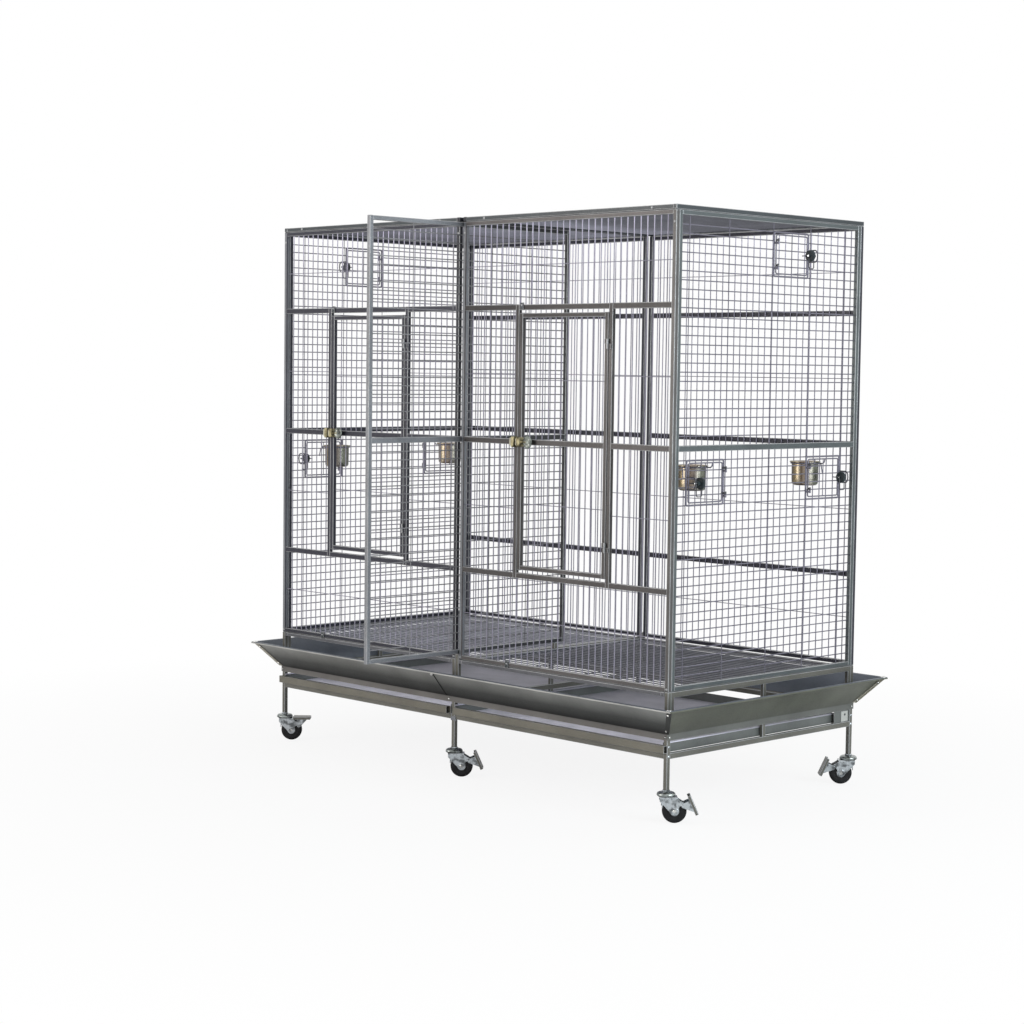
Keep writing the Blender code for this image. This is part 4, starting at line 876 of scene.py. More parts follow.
def cup_holder(cup_x, side, height):
    """Wires of a cup's ring: the ring itself, and the hooks that hold it to the door."""
    low = height - 0.002
    ring = [(x, y, low) for x, y in ring_of(CUP_RING, 32, cup_x, CUP_LINE)]
    hooks = []
    for x in (cup_x - HOOK_FROM_MIDDLE, cup_x + HOOK_FROM_MIDDLE):
        hooks.append([
            (x, CUP_LINE - 0.0334, low), (x, 0.018, low), (x, 0.0125, height + 0.002),
            (x, 0.0105, height + 0.010),
        ])
    x = cup_x - side * 0.041
    hooks.append([
        (x, CUP_LINE, low), (x - side * 0.008, CUP_LINE - 0.006, height),
        (x - side * 0.014, CUP_LINE - 0.014, height - 0.006),
        (x - side * 0.016, CUP_LINE - 0.018, height - 0.03),
    ])
    return ring, hooks


def bracket_wire(knob_x, middle):
    """A wire loop that hangs below a knob's bolt."""
    wide = KNOB_LENGTH / 2 + 0.002
    half = (
        (wide, 0.004, 0), (wide, KNOB_LINE, 0), (wide, KNOB_LINE, BRACKET_CORNER - BRACKET_DROP),
        (wide - BRACKET_CORNER, KNOB_LINE, -BRACKET_DROP),
    )
    far = [(knob_x + x, y, middle + z) for x, y, z in reversed(half)]
    return [(knob_x - x, y, middle + z) for x, y, z in half] + far


def feeder_door(side_name, label, spot, place):
    """One wire door with its knob and, low down, its cup."""
    centre, bottom, top, side = spot
    name = side_name + "_feeder_door_" + label
    middle = (bottom + top) / 2
    low = bottom + FEEDER_END_CLEARANCE
    high = top - FEEDER_END_CLEARANCE
    ends = (low + FEEDER_FRAME, high - FEEDER_FRAME)
    edges = (centre - FEEDER_WIDTH / 2 + FEEDER_FRAME, centre + FEEDER_WIDTH / 2 - FEEDER_FRAME)
    bars = [level(*edges, z, BAR_LINE) for z in spaced(low, high, BAR_PITCH)]
    start = centre - side * (KNOB_TIP - KNOB_TRAVEL)
    parts = [
        wires([wire_loop(*edges, *ends, 0.0068)], FEEDER_FRAME - 0.0003, bar_coat, 8, True),
        wires(bars, BAR_RADIUS, bar_coat),
        wires([upright(centre, *ends, WIRE_LINE)], WIRE_RADIUS, bar_coat, 6),
        wires(feeder_pins(spot, 1), FEEDER_PIN, dark_wire),
        wires([bracket_wire(start + side * KNOB_LENGTH / 2, middle)], 0.0015, dark_wire),
    ]
    if label != "high":
        height = high - CUP_DROP
        cup_x = centre + side * CUP_TOWARD_HINGE
        ring, hooks = cup_holder(cup_x, side, height)
        parts.append(wires([ring], CUP_WIRE, bar_coat, 8, True))
        parts.append(wires(hooks, CUP_WIRE, bar_coat))
        cup_name = side_name + "_cup_" + label[4:]
        cup_low = height + GAP - CUP_HEIGHT + CUP_REST
        cup = lathe(cup_profile(), stainless, moved(cup_x, CUP_LINE, cup_low), 48, 50)
        fit([cup], cup_name + "_spun", place, cup_name, "stainless", cup_name)
    fit(parts, name + "_detail", place, name, "pewter_frame", name)
    knob_name = side_name + "_feeder_knob_" + label
    knob = ribbed_knob(moved(start, KNOB_LINE, middle) @ Matrix.Diagonal((side, 1, 1, 1)))
    bolt = level(centre - side * KNOB_TIP, start + side * (KNOB_LENGTH + 0.006), middle, KNOB_LINE)
    parts = [knob, wires([bolt], 0.0028, zinc)]
    fit(parts, knob_name + "_detail", place, knob_name, "black_rubber", knob_name)


for side_name, labels in (
    ("left", ("low_back", "low_front", "high")), ("right", ("low_front", "low_back", "high")),
):
    for label, spot in zip(labels, feeder_spots()):
        feeder_door(side_name, label, spot, side_places[side_name])

# Fronts
# Each bay front has a doorway edged with tube between two of its bars, two hinge halves on the
# right jamb, and a cast brass keeper on the left one that takes the bolt of the latch.
DOOR_PITCHES = 15
DOOR_SIDE_CLEARANCE = 0.0025
DOOR_END_CLEARANCE = 0.008
HINGE_FROM_END = 0.085
KNUCKLE = 0.013
KNUCKLE_RADIUS = 0.0034
LEAF_LENGTH = 0.012
LEAF_THICKNESS = 0.0028
LATCH_HEIGHT = 0.027
LATCH_OUT = 0.0155
KEEPER_LENGTH = 0.0125
BOLT_OUT = 0.0085
BORE_RADIUS = 0.0043
CLIP_OUT = 0.0022
CLIP_DEPTH = 0.002
SCREW_HEAD = (0.0032, 0.0022, 0.0032)
HALF_TUBE = TUBE / 2
# Warm copy of the coat for the right bay, painted light: paler at foot and top, a shaded band at the upper
# rail.
warm_coat = painted_light_along(
    "Z", coated("warm_pewter_coat", (0.078, 0.073, 0.073), (0.22, 0.2, 0.19)),
    ((0.34, 1.6), (0.5, 0.92), (0.98, 0.76), (1.2, 0.9), (1.33, 0.36), (1.4, 0.5), (1.6, 1.3)),
)
corner_coat = coated("corner_pewter_coat", (0.09, 0.087, 0.086), (0.26, 0.25, 0.24))
# Pale coat on the bays' left stiles, a painted highlight on the uprights; also the centre frame's cover
# plate.
pale_coat = coated("pale_pewter_coat", (0.19, 0.2, 0.22), (0.4, 0.42, 0.44), 0.6)
brass = plain_metal("cast_brass", (0.4, 0.36, 0.22), 0.36, 0.9)
black_rubber = moulded("black_rubber", (0.009, 0.009, 0.01), 0.55)
cream = moulded("cream_bush", (0.55, 0.53, 0.42), 0.5)
bar_places = spaced(TUBE, BAY_PANEL - TUBE, BAR_PITCH)
first_bar = (len(bar_places) - DOOR_PITCHES) // 2
LEFT_JAMB = bar_places[first_bar]
RIGHT_JAMB = bar_places[first_bar + DOOR_PITCHES]
HINGE_X = RIGHT_JAMB - HALF_TUBE - DOOR_SIDE_CLEARANCE / 2
DOOR_LOW = LOWER_RAIL + HALF_RAIL + DOOR_END_CLEARANCE
DOOR_HIGH = UPPER_RAIL - HALF_RAIL - DOOR_END_CLEARANCE
front_places = {
    "left": moved(-HALF_WIDTH, CAGE_FRONT, PANEL_BOTTOM),
    "right": moved(SLOT / 2, CAGE_FRONT, PANEL_BOTTOM),
}


def hinge_halves(toward, material):
    """Rolled knuckles on the door's pin line, each with a leaf on the tube behind."""
    rolls = []
    leaves = []
    for height in (DOOR_LOW + HINGE_FROM_END, DOOR_HIGH - HINGE_FROM_END):
        low = height - KNUCKLE if toward > 0 else height + GAP
        rolls.append(upright(HINGE_X, low, low + KNUCKLE, -HINGE_OUT))
        near, far = sorted((HINGE_X + toward * 0.0005, HINGE_X + toward * LEAF_LENGTH))
        leaves.append(((near, -LEAF_THICKNESS, low), (far, 0.002, low + KNUCKLE)))
    return [
        # The knuckles take the pale edge coat, a painted highlight.
        wires(rolls, KNUCKLE_RADIUS, edge_highlight, 14),
        blocks(leaves, material, 0.0007, edge_highlight),
    ]


def latch_block(x0, x1, material, tall=LATCH_HEIGHT, out=LATCH_OUT):
    """A cast block with well rounded edges on the face of a tube."""
    corners = ((x0, -out, MIDDLE_RAIL - tall / 2), (x1, 0.003, MIDDLE_RAIL + tall / 2))
    return blocks([corners], material, 0.0026)


def keeper_block(right):
    """The brass keeper, with a bore for the bolt of the latch."""
    block = latch_block(right - KEEPER_LENGTH, right, brass, 0.03)
    bore = level(right + 0.001, right - 0.009, MIDDLE_RAIL, -BOLT_OUT)
    drill = wires([bore], BORE_RADIUS, black_rubber, 20)
    block.modifiers.new("bore", "BOOLEAN").object = drill
    plain_mesh(block)
    bpy.data.objects.remove(drill)
    return block


def front_wires():
    """Bars and cross wires of a bay front, broken at its doorway, and their weld spots."""
    bottom, top = inside(PANEL_HEIGHT)
    left, right = inside(BAY_PANEL)
    whole_bars, whole_cross, welds = bay_wires(PANEL_HEIGHT, WIRE_HEIGHTS)
    bars = []
    for bar in whole_bars:
        x = bar[0][0]
        if LEFT_JAMB - TUBE < x < RIGHT_JAMB + TUBE:
            bars.append(upright(x, bottom, LOWER_RAIL - HALF_RAIL + LAP))
            bars.append(upright(x, UPPER_RAIL + HALF_RAIL - LAP, top))
        else:
            bars.append(bar)
    cross = []
    for wire in whole_cross:
        height = wire[0][2]
        if LOWER_RAIL < height < UPPER_RAIL:
            cross.append(level(left, LEFT_JAMB - HALF_TUBE + LAP, height))
            cross.append(level(RIGHT_JAMB + HALF_TUBE - LAP, right, height))
        else:
            cross.append(wire)
    return bars, cross, welds


def bay_front(side_name, coat, stile_coat):
    """A bay front as one piece, with its doorway, hinge halves and keeper."""
    name = "front_" + side_name + "_panel"
    place = front_places[side_name]
    left_stile, right_stile, *tubes = tube_ring(BAY_PANEL, PANEL_HEIGHT)
    tubes += [rail(TUBE, LEFT_JAMB - HALF_TUBE, z) for z in RAILS]
    tubes += [rail(RIGHT_JAMB + HALF_TUBE, BAY_PANEL - TUBE, z) for z in RAILS]
    for x in (LEFT_JAMB, RIGHT_JAMB):
        tubes.append((
            (x - HALF_TUBE, INSET, LOWER_RAIL - HALF_RAIL),
            (x + HALF_TUBE, TUBE - INSET, UPPER_RAIL + HALF_RAIL),
        ))
    for z in (LOWER_RAIL, UPPER_RAIL):
        tubes.append((
            (LEFT_JAMB + HALF_TUBE - SINK, 2 * INSET, z - HALF_RAIL + INSET),
            (RIGHT_JAMB - HALF_TUBE + SINK, TUBE - 2 * INSET, z + HALF_RAIL - INSET),
        ))
    parts = wire_panel(tubes, *front_wires(), coat, front_bars)
    # The left stile's pale face is a painted highlight, edged in the bay's coat.
    parts.append(blocks([left_stile], pale_coat, 0.0022, coat))
    parts.append(blocks([right_stile], stile_coat, ROUNDING, edge_highlight))
    parts += hinge_halves(1, coat)
    ends = (HALF_TUBE, BAY_PANEL - HALF_TUBE)
    heads = [(x, 0.0004, z) for x in ends for z in (HALF_TUBE, PANEL_HEIGHT - 0.032)]
    parts.append(beads(heads, (0.0036, 0.0018, 0.0036), edge_highlight))
    stop = LEFT_JAMB + HALF_TUBE + 0.012
    clips = [
        ((stop - 0.006, -CLIP_OUT, UPPER_RAIL - 0.007), (stop + 0.006, CLIP_DEPTH, UPPER_RAIL + 0.013)),
        ((stop - 0.050, -CLIP_OUT, -0.002), (stop - 0.036, CLIP_DEPTH, 0.017)),
    ]
    parts.append(blocks(clips, roof_coat, 0.0007, edge_highlight))
    heads = [(stop, -CLIP_DEPTH, UPPER_RAIL + 0.006), (stop - 0.043, -CLIP_DEPTH, 0.009)]
    parts.append(beads(heads, SCREW_HEAD, edge_highlight))
    fit(parts, name + "_detail", place, "cage", "pewter_frame", name)
    keeper = LEFT_JAMB + HALF_TUBE - INSET
    block = keeper_block(keeper)
    cap = latch_block(keeper - 0.026, keeper - 0.011, cream, 0.022, 0.008)
    fit([block, cap], side_name + "_keeper", place, "cage", "brass")


# The left bay takes the darker blue coat and a shaded right stile: painted shade.
bay_front("left", blue_coat, shaded_coat)
bay_front("right", warm_coat, corner_coat)

# Front doors
# Two tall doors of the same tube and bars. The bolt of each slides through a cast housing on its
# left stile and ends in a round finger plate held by four small screws.
HOUSING_LENGTH = 0.020
BUSH_LENGTH = 0.006
BOLT_RADIUS = 0.0038
BOLT_TRAVEL = 0.009
FINGER_DISC = 0.017
FINGER_SCREWS = 0.0098
DOOR_LEFT = LEFT_JAMB + HALF_TUBE + DOOR_SIDE_CLEARANCE
DOOR_WIDTH = RIGHT_JAMB - LEFT_JAMB - TUBE - 2 * DOOR_SIDE_CLEARANCE
finger_plate = plain_metal("pale_finger_plate", (0.3, 0.33, 0.3), 0.34, 0.8)
bright = plain_metal("bright_screw", (0.8, 0.8, 0.78), 0.22)


def latch_bolt(name, place):
    """A bolt with its finger plate and the plate's screws."""
    tip = DOOR_LEFT + SINK
    disc_x = tip + HOUSING_LENGTH + BOLT_TRAVEL - 0.0005 + FINGER_DISC
    at = moved(disc_x, 0.0005 - BOLT_OUT, MIDDLE_RAIL) @ turned(90, "X")
    plate = (
        (0, 0), (0.0155, 0), (0.0168, 0.0008), (FINGER_DISC, 0.0022), (0.0163, 0.0036), (0.0148, 0.0042),
        (0.0135, 0.0036), (0.006, 0.0032), (0.0052, 0.0044), (0, 0.0046),
    )
    head = ((0, 0), (0.0019, 0), (0.0018, 0.0009), (0.001, 0.0013), (0, 0.0014))
    parts = [
        wires([level(tip, disc_x, MIDDLE_RAIL, -BOLT_OUT)], BOLT_RADIUS, brass, 16),
        lathe(plate, finger_plate, at),
    ]
    for x, y in arc(0, 0, FINGER_SCREWS, 45, 315, 3):
        parts.append(lathe(head, bright, at @ moved(x, y, 0.003), 12))
    fit(parts, name + "_latch_detail", place, name + "_latch", "brass", name + "_latch")


def front_door(side_name, coat):
    """One door with its hinge halves, latch housing and bolt."""
    name = side_name + "_door"
    place = front_places[side_name]
    shift = Vector((DOOR_LEFT, 0, DOOR_LOW))
    ring = tube_ring(DOOR_WIDTH, DOOR_HIGH - DOOR_LOW)
    tubes = [(Vector(low) + shift, Vector(high) + shift) for low, high in ring]
    left, right = (DOOR_LEFT + end for end in inside(DOOR_WIDTH))
    bottom = DOOR_LOW + TUBE
    top = DOOR_HIGH - TUBE
    tubes.append(rail(left + LAP, right - LAP, MIDDLE_RAIL))
    places = [DOOR_LEFT + x for x in spaced(TUBE, DOOR_WIDTH - TUBE, BAR_PITCH)]
    bars = [upright(x, bottom - LAP, top + LAP) for x in places]
    welds = [(x, BAR_LINE, z) for x in places for z in (bottom, top)]
    cross = [level(left, right, (z + MIDDLE_RAIL) / 2) for z in (bottom, top)]
    parts = wire_panel(tubes, bars, cross, welds, coat, front_bars) + hinge_halves(-1, coat)
    fit(parts, name + "_detail", place, name, "pewter_frame", name)
    start = DOOR_LEFT + INSET
    bush = latch_block(start, start + BUSH_LENGTH, cream, 0.020, 0.0135)
    case = latch_block(start + BUSH_LENGTH - SINK, DOOR_LEFT + HOUSING_LENGTH, brass)
    fit([bush, case], name + "_latch_housing", place, name, "brass")
    latch_bolt(name, place)


front_door("left", blue_coat)
front_door("right", warm_coat)

# Divider
# One welded panel with level bars, which hangs in the slot between the bays and rests on the
# centre frame's posts. It is shown pulled out forwards. Its coat is pale where it stands out of
# the cage and painted darker inside it: painted light and shade.
DIVIDER_LENGTH = 0.787
DIVIDER_HEIGHT = 1.2385
DIVIDER_LOW = 0.3605
DIVIDER_FRONT = 0.7485
DIVIDER_MIDDLE = PANEL_BOTTOM + MIDDLE_RAIL - DIVIDER_LOW
DIVIDER_WIRE_PITCH = 0.157
# Divider coat painted darker inside the cage: painted shade.
divider_coat = painted_light_along(
    "Y", coated("divider_coat", (0.2, 0.21, 0.23), (0.5, 0.5, 0.5), 0.8),
    ((-0.62, 1), (-0.32, 1), (-0.2, 0.3), (0.18, 0.16)),
)
# Its bars painted darker inside the cage: painted shade.
pale_bars = painted_light_along(
    "Y", coated("pale_bar_coat", (0.26, 0.26, 0.275), (0.5, 0.5, 0.52), 0.5),
    ((-0.62, 1), (-0.32, 1), (-0.2, 0.7), (0.18, 0.6)),
)


def slide_divider():
    """The divider panel in its drawn out place."""
    place = moved(HALF_TUBE, CAGE_Y - DIVIDER_FRONT, DIVIDER_LOW) @ turned(90)
    tubes = [*tube_ring(DIVIDER_LENGTH, DIVIDER_HEIGHT), middle_tube(DIVIDER_LENGTH, DIVIDER_MIDDLE)]
    low, high = level_bars(DIVIDER_MIDDLE, DIVIDER_HEIGHT)
    bars = [level(*inside(DIVIDER_LENGTH), z, BAR_LINE) for z in low + high]
    stays = spaced(TUBE, DIVIDER_LENGTH - TUBE, DIVIDER_WIRE_PITCH)
    cross = [upright(x, *inside(DIVIDER_HEIGHT), WIRE_LINE) for x in stays]
    welds = [(x, BAR_LINE, z) for z in low + high for x in (TUBE, DIVIDER_LENGTH - TUBE)]
    parts = wire_panel(tubes, bars, cross, welds, divider_coat, pale_bars)
    fit(parts, "divider_detail", place, "divider", "pewter_frame", "divider")


slide_divider()

# Stand
# Two end frames and a centre frame of the same square tube, welded up with level rails in two
# tiers, struts, and ledges for the grates. The centre frame's posts carry the divider.
CENTRE_X = -0.01335
LEG_BOTTOM = 0.086
STAND_LOW = 0.168
STAND_UPPER = 0.217
STAND_TOP = 0.329
STAND_RAIL = 0.016
STEM_CAP = 0.0102
LEDGE = 0.009
PLATE = 0.0012
stand_coat = coated("stand_coat", (0.145, 0.143, 0.124), (0.3, 0.3, 0.27))
tray_wall = coated("tray_wall_coat", (0.14, 0.15, 0.145), (0.28, 0.3, 0.3), 0.4, 0.4)
stop_coat = coated("pale_stop_coat", (0.5, 0.51, 0.49), (0.7, 0.7, 0.68), 0.4)


def frame_tubes(x0, side):
    """Legs, rails and struts of one frame, with the rails or divider posts that run in from it."""
    front = CAGE_FRONT
    back = CAGE_BACK - TUBE
    x1 = x0 + TUBE
    top = PANEL_BOTTOM - GAP
    tubes = [((x0, y, LEG_BOTTOM), (x1, y + TUBE, top)) for y in (front, back)]
    for low in (STAND_LOW, STAND_UPPER, STAND_TOP):
        tubes.append((
            (x0 + INSET, front + TUBE - SINK, low), (x1 - INSET, back + SINK, low + STAND_RAIL - INSET),
        ))
    tubes.append((
        (x0 + 2 * INSET, CAGE_Y - HALF_TUBE, STAND_LOW + LAP),
        (x1 - 2 * INSET, CAGE_Y + HALF_TUBE, STAND_TOP + LAP),
    ))
    for y in (front + TUBE - INSET, back - TUBE + INSET):
        tubes.append(((x0 + INSET, y, STAND_UPPER + LAP), (x1 - INSET, y + TUBE, STAND_TOP + LAP)))
    if side:
        near, far = sorted((x0 + HALF_TUBE, CENTRE_X + side * (HALF_TUBE + GAP)))
        for low in (STAND_LOW, STAND_UPPER):
            for y in (front, back):
                high = low + STAND_RAIL - INSET
                tubes.append(((near, y + INSET, low + INSET), (far, y + TUBE - INSET, high)))
        return tubes
    over_rail = STAND_UPPER + STAND_RAIL
    for y, low in ((front, over_rail), (CAGE_Y - HALF_TUBE, STAND_TOP + 2 * INSET), (back, over_rail)):
        tubes.append(((-HALF_TUBE, y + INSET, low), (HALF_TUBE, y + TUBE - INSET, DIVIDER_LOW - GAP)))
    for y in (front, back):
        tubes.append(((x1 - INSET, y + 2 * INSET, over_rail + INSET), (0, y + TUBE - 2 * INSET, top - GAP)))
    return tubes


def tray_stop(x0, side):
    """The web at the back of an end frame, and the pale stop plate that is riveted to it."""
    back = CAGE_BACK - TUBE
    low = STAND_LOW + STAND_RAIL - 0.002
    x = x0 + TUBE - 0.004 if side > 0 else x0 + 0.0028
    web = ((x, back - 0.07, low), (x + PLATE, back + SINK, STAND_UPPER + SINK))
    x += side * 0.001
    stop = ((x, back - 0.038, low + 0.003), (x + PLATE, back - 0.007, STAND_UPPER - 0.002))
    rivet = (x + (1 + side) * PLATE / 2, back - 0.021, STAND_UPPER - 0.012)
    return [
        blocks([web], tray_wall, 0.0004, edge_highlight),
        blocks([stop], stop_coat, 0.0004, edge_highlight),
        beads([rivet], (0.0014, 0.0032, 0.0032), roof_coat),
    ]


def stand_frame(name, x0, side, ledge_ends):
    """One frame with its ledges, the caps of its casters' stems, and its small parts."""
    front = CAGE_FRONT
    back = CAGE_BACK - TUBE
    leg_middles = (front + HALF_TUBE, back + HALF_TUBE)
    ledges = [
        ((near, front + 2 * TUBE, STAND_TOP + 2 * INSET), (far, back - TUBE, STAND_TOP + 0.003))
        for near, far in ledge_ends
    ]
    parts = [
        blocks(frame_tubes(x0, side), stand_coat, ROUNDING, edge_highlight),
        blocks(ledges, stand_coat, 0.0005),
    ]
    cap = ((0, 0), (0.0085, 0), (STEM_CAP, 0.0012), (STEM_CAP, 0.0036), (0.0085, 0.0045), (0, 0.0045))
    for y in leg_middles:
        parts.append(lathe(cap, zinc, moved(x0 + HALF_TUBE, y, LEG_BOTTOM - LAP), 24))
    if side:
        parts += tray_stop(x0, side)
    if side > 0:
        heads = [(x0 + TUBE, y, z) for y in leg_middles for z in (0.175, 0.2)]
        parts.append(beads(heads, (0.0018, 0.0038, 0.0038), zinc))
    if not side:
        cover = (
            (x0 - 0.002, front - 0.0016, STAND_LOW - 0.003),
            (x0 + TUBE + 0.006, front + SINK, STAND_LOW + 0.009),
        )
        parts.append(blocks([cover], pale_coat, 0.0006))
    fit(parts, name + "_detail", Matrix(), "cage", "pewter_frame", name)


inner_left = -HALF_WIDTH + TUBE
inner_right = HALF_WIDTH - TUBE
centre_left = CENTRE_X - HALF_TUBE
stand_frame("stand_left_frame", -HALF_WIDTH, -1, [(inner_left - LAP, inner_left + LEDGE)])
stand_frame("stand_right_frame", inner_right, 1, [(inner_right - LEDGE, inner_right + LAP)])
stand_frame("stand_centre_frame", centre_left, 0, [
    (centre_left - LEDGE, centre_left + LAP), (CENTRE_X + HALF_TUBE - LAP, HALF_TUBE + LEDGE),
])

# Seed apron
# Six folded sheets that flare out round the stand and catch thrown seed. Each hangs on the upper
# rail by a flange, and its top edge is folded out and down into a narrow hem.
APRON_LOW = 0.2345
APRON_RISE = 0.0755
APRON_FLARE = 0.061
APRON_LIP = 0.009
APRON_HEM = 0.0045
APRON_SEAM = -0.04
SHEET = 0.0015
FLANGE_LOW = APRON_LOW - STAND_RAIL
HEM_TOP = APRON_LOW + APRON_RISE + SHEET
STRIP = 0.0011
UP_SLOPE = Vector((0, -APRON_FLARE, APRON_RISE))
OFF_SLOPE = Vector((0, -APRON_RISE, -APRON_FLARE)).normalized()


def sheet_coat(name, stops):
    """The coat on a flared sheet, in painted shade and reflection from flange to hem, with its inside face
    painted in darker, bluer shade.
    """
    material = coated(name, (1, 1, 1), (1.7, 1.7, 1.7), 0.3, 0.4)
    tree = material.node_tree
    shades = colour_ramp(tree, remap(tree, along_axis(tree, "Z"), FLANGE_LOW, HEM_TOP), stops)
    # The inside face is mixed to a darker blue-grey: painted shade.
    inside_share = remap(tree, along_axis(tree, "Z", "Normal"), 0.25, 0.35)
    sides = colour_mix(tree, inside_share, shades, (0.1, 0.115, 0.14, 1))
    return feed_shader(material, {
        "Base Color": colour_mix(tree, 1, base_colour(material), sides, "MULTIPLY"),
    })


# Long sheets: near black low in the fold, paler up to the hem: painted shade and painted reflection.
long_sheet = sheet_coat("long_apron_coat", (
    (0.0, (0.17, 0.163, 0.155)), (0.16, (0.17, 0.163, 0.155)), (0.19, (0.016, 0.016, 0.017)),
    (0.5, (0.07, 0.074, 0.07)), (0.85, (0.3, 0.305, 0.29)), (0.97, (0.42, 0.425, 0.41)),
))
# End sheets: a milder painted shade from the fold up.
end_sheet = sheet_coat("end_apron_coat", (
    (0.0, (0.14, 0.145, 0.135)), (0.16, (0.14, 0.145, 0.135)), (0.19, (0.1, 0.103, 0.085)),
    (0.5, (0.112, 0.118, 0.09)), (0.9, (0.13, 0.136, 0.105)),
))
# The pale and dark strips are lit and shaded copies of one strip: painted light and painted shade.
pale_strip = coated("pale_strip_coat", (0.42, 0.4, 0.34), (0.7, 0.68, 0.6), 0.9, 0.4)
dark_strip = coated("dark_strip_coat", (0.03, 0.032, 0.03), (0.2, 0.2, 0.18), 0.5, 0.4)


def apron_ring():
    """Outline of the folded sheet, as distance out and height: outer side, and inner side back."""
    half = SHEET / 2
    near = GAP + half
    lip = GAP + APRON_FLARE
    hem = lip + APRON_LIP - half
    top = HEM_TOP - half
    line = [Vector(point) for point in (
        (near, FLANGE_LOW), (near, APRON_LOW + half - 0.001), (near + 0.0008, APRON_LOW + half + 0.001),
        (lip - 0.001, top - 0.0012), (lip + 0.001, top), (lip + APRON_LIP - 0.002, top),
        (hem, top - 0.0012), (hem, top - APRON_HEM),
    )]
    outer = []
    inner = []
    for point, before, after in zip(line, line[:1] + line, line[1:] + line[-1:]):
        along = (after - before).normalized()
        across = Vector((along.y, -along.x)) * half
        outer.append(point + across)
        inner.append(point - across)
    return outer + inner[::-1]


def hip_edge(half, toward, material):
    """A narrow strip over the mitre, with a bolt near each end of it and a cap on the corner."""
    low = Vector((toward * half, 0, APRON_LOW))
    along = UP_SLOPE + Vector((toward * APRON_FLARE, 0, 0))
    out = OFF_SLOPE
    across = Vector((-toward, 0, 0))
    edge = low + out * (GAP + 0.0012) - across * 0.0075
    points = [edge + along * share for share in (0.04, 0.97)]
    points += [point + across * 0.0165 for point in reversed(points)]
    bolts = [low + along * share + across * 0.004 + out * (GAP + 0.0023) for share in (0.16, 0.84)]
    corner = (toward * (half + APRON_FLARE - 0.002), -APRON_FLARE - 0.0011, HEM_TOP)
    return [
        skin([points, [point + out * STRIP for point in points]], 0, material),
        beads(bolts, (0.0034, 0.0022, 0.0034), bright),
        beads([corner], (0.008, 0.008, 0.0024), bright),
    ]


def seam_edge(x):
    """The folded end of a lapping sheet at the seam, with a screw at its lip."""
    near = Vector((x, -GAP - 0.0022, APRON_LOW + 0.002))
    out = OFF_SLOPE * 0.0012
    lip = near + UP_SLOPE * 0.9 + out * 1.6 - Vector((0.005, 0, 0))
    return [
        # The folded edge is real; its dark coat is the shadow it casts, painted.
        wires([[near + out, near + UP_SLOPE * 0.96 + out]], STRIP, dark_strip, 6),
        beads([lip], (0.008, 0.003, 0.006), bright),
    ]


def apron(name, half, ends, place, coat, strips):
    """One sheet along X, mitred at a corner of the cage and square at the middle seam."""
    rings = []
    for end in ends:
        ring = []
        for out, height in apron_ring():
            corner = half + out - GAP / 2
            ring.append(({"left": -corner, "right": corner}.get(end, end), -out, height))
        rings.append(ring)
    parts = [skin(rings, 34, coat)]
    screws = []
    for end, toward, strip in zip(ends, (-1, 1), strips):
        if end in ("left", "right"):
            screws.append(toward * (half - 0.006))
            if strip:
                parts += hip_edge(half, toward, strip)
        elif toward < 0:
            screws.append(end + 0.01)
            parts += seam_edge(end)
    spots = [(x, -GAP - SHEET, APRON_LOW - STAND_RAIL * 0.55) for x in screws]
    parts.append(beads(spots, (0.004, 0.0024, 0.004), bright))
    fit(parts, name + "_detail", place, "cage", "pewter_sheet", name)


half_gap = GAP / 2
# The strip at the front right corner takes the dark copy, a painted shade; the others the pale, lit copy.
for apron_name, ends, y, turn, strips in (
    ("apron_front_left", ("left", APRON_SEAM - half_gap), CAGE_FRONT, 0, (pale_strip, None)),
    ("apron_front_right", (APRON_SEAM + half_gap, "right"), CAGE_FRONT, 0, (None, dark_strip)),
    ("apron_back_right", ("left", -half_gap), CAGE_BACK, 180, (pale_strip, None)),
    ("apron_back_left", (half_gap, "right"), CAGE_BACK, 180, (None, pale_strip)),
):
    apron(apron_name, HALF_WIDTH, ends, moved(0, y, 0) @ turned(turn), long_sheet, strips)
for apron_name, side, strip in (("apron_left", -1, None), ("apron_right", 1, pale_strip)):
    place = moved(side * HALF_WIDTH, CAGE_Y, 0) @ turned(side * 90)
    apron(apron_name, HALF_DEPTH, ("left", "right"), place, end_sheet, (None, strip))

# Trays
# Two pans folded from pale lined sheet, which slide out forwards under the grates. The front of
# each is folded into an open ended channel that covers the legs' faces and serves as a pull.
TRAY_LOW = 0.1838
TRAY_DEPTH = 0.736
TRAY_HEIGHT = 0.028
TRAY_LIP = 0.0215
TRAY_FRONT = 0.012
TRAY_WALL = 0.0015
CHANNEL_LOW = 0.0005
SLIDE_CLEARANCE = 0.0012
OVER_LEG = TUBE + SLIDE_CLEARANCE - 0.0005
SHORT_OF_MIDDLE = 0.008
tray_coat = coated("tray_front_coat", (0.165, 0.158, 0.13), (0.32, 0.3, 0.25), 0.5, 0.4)
# Lining painted paler near the front edge and darker under the grate: painted light and the grate's painted
# shadow.
tray_lining = painted_light_along(
    "Y", coated("tray_lining", (0.42, 0.41, 0.47), (0.6, 0.6, 0.66), 0.5, 0.42, 0.3),
    ((-0.27, 1.9), (-0.14, 1.8), (0.02, 1.0), (0.5, 0.9)),
)


def tray_width(side):
    """Width of a tray between an end frame and the centre frame."""
    return HALF_WIDTH - side * CENTRE_X - 1.5 * TUBE - 2 * SLIDE_CLEARANCE


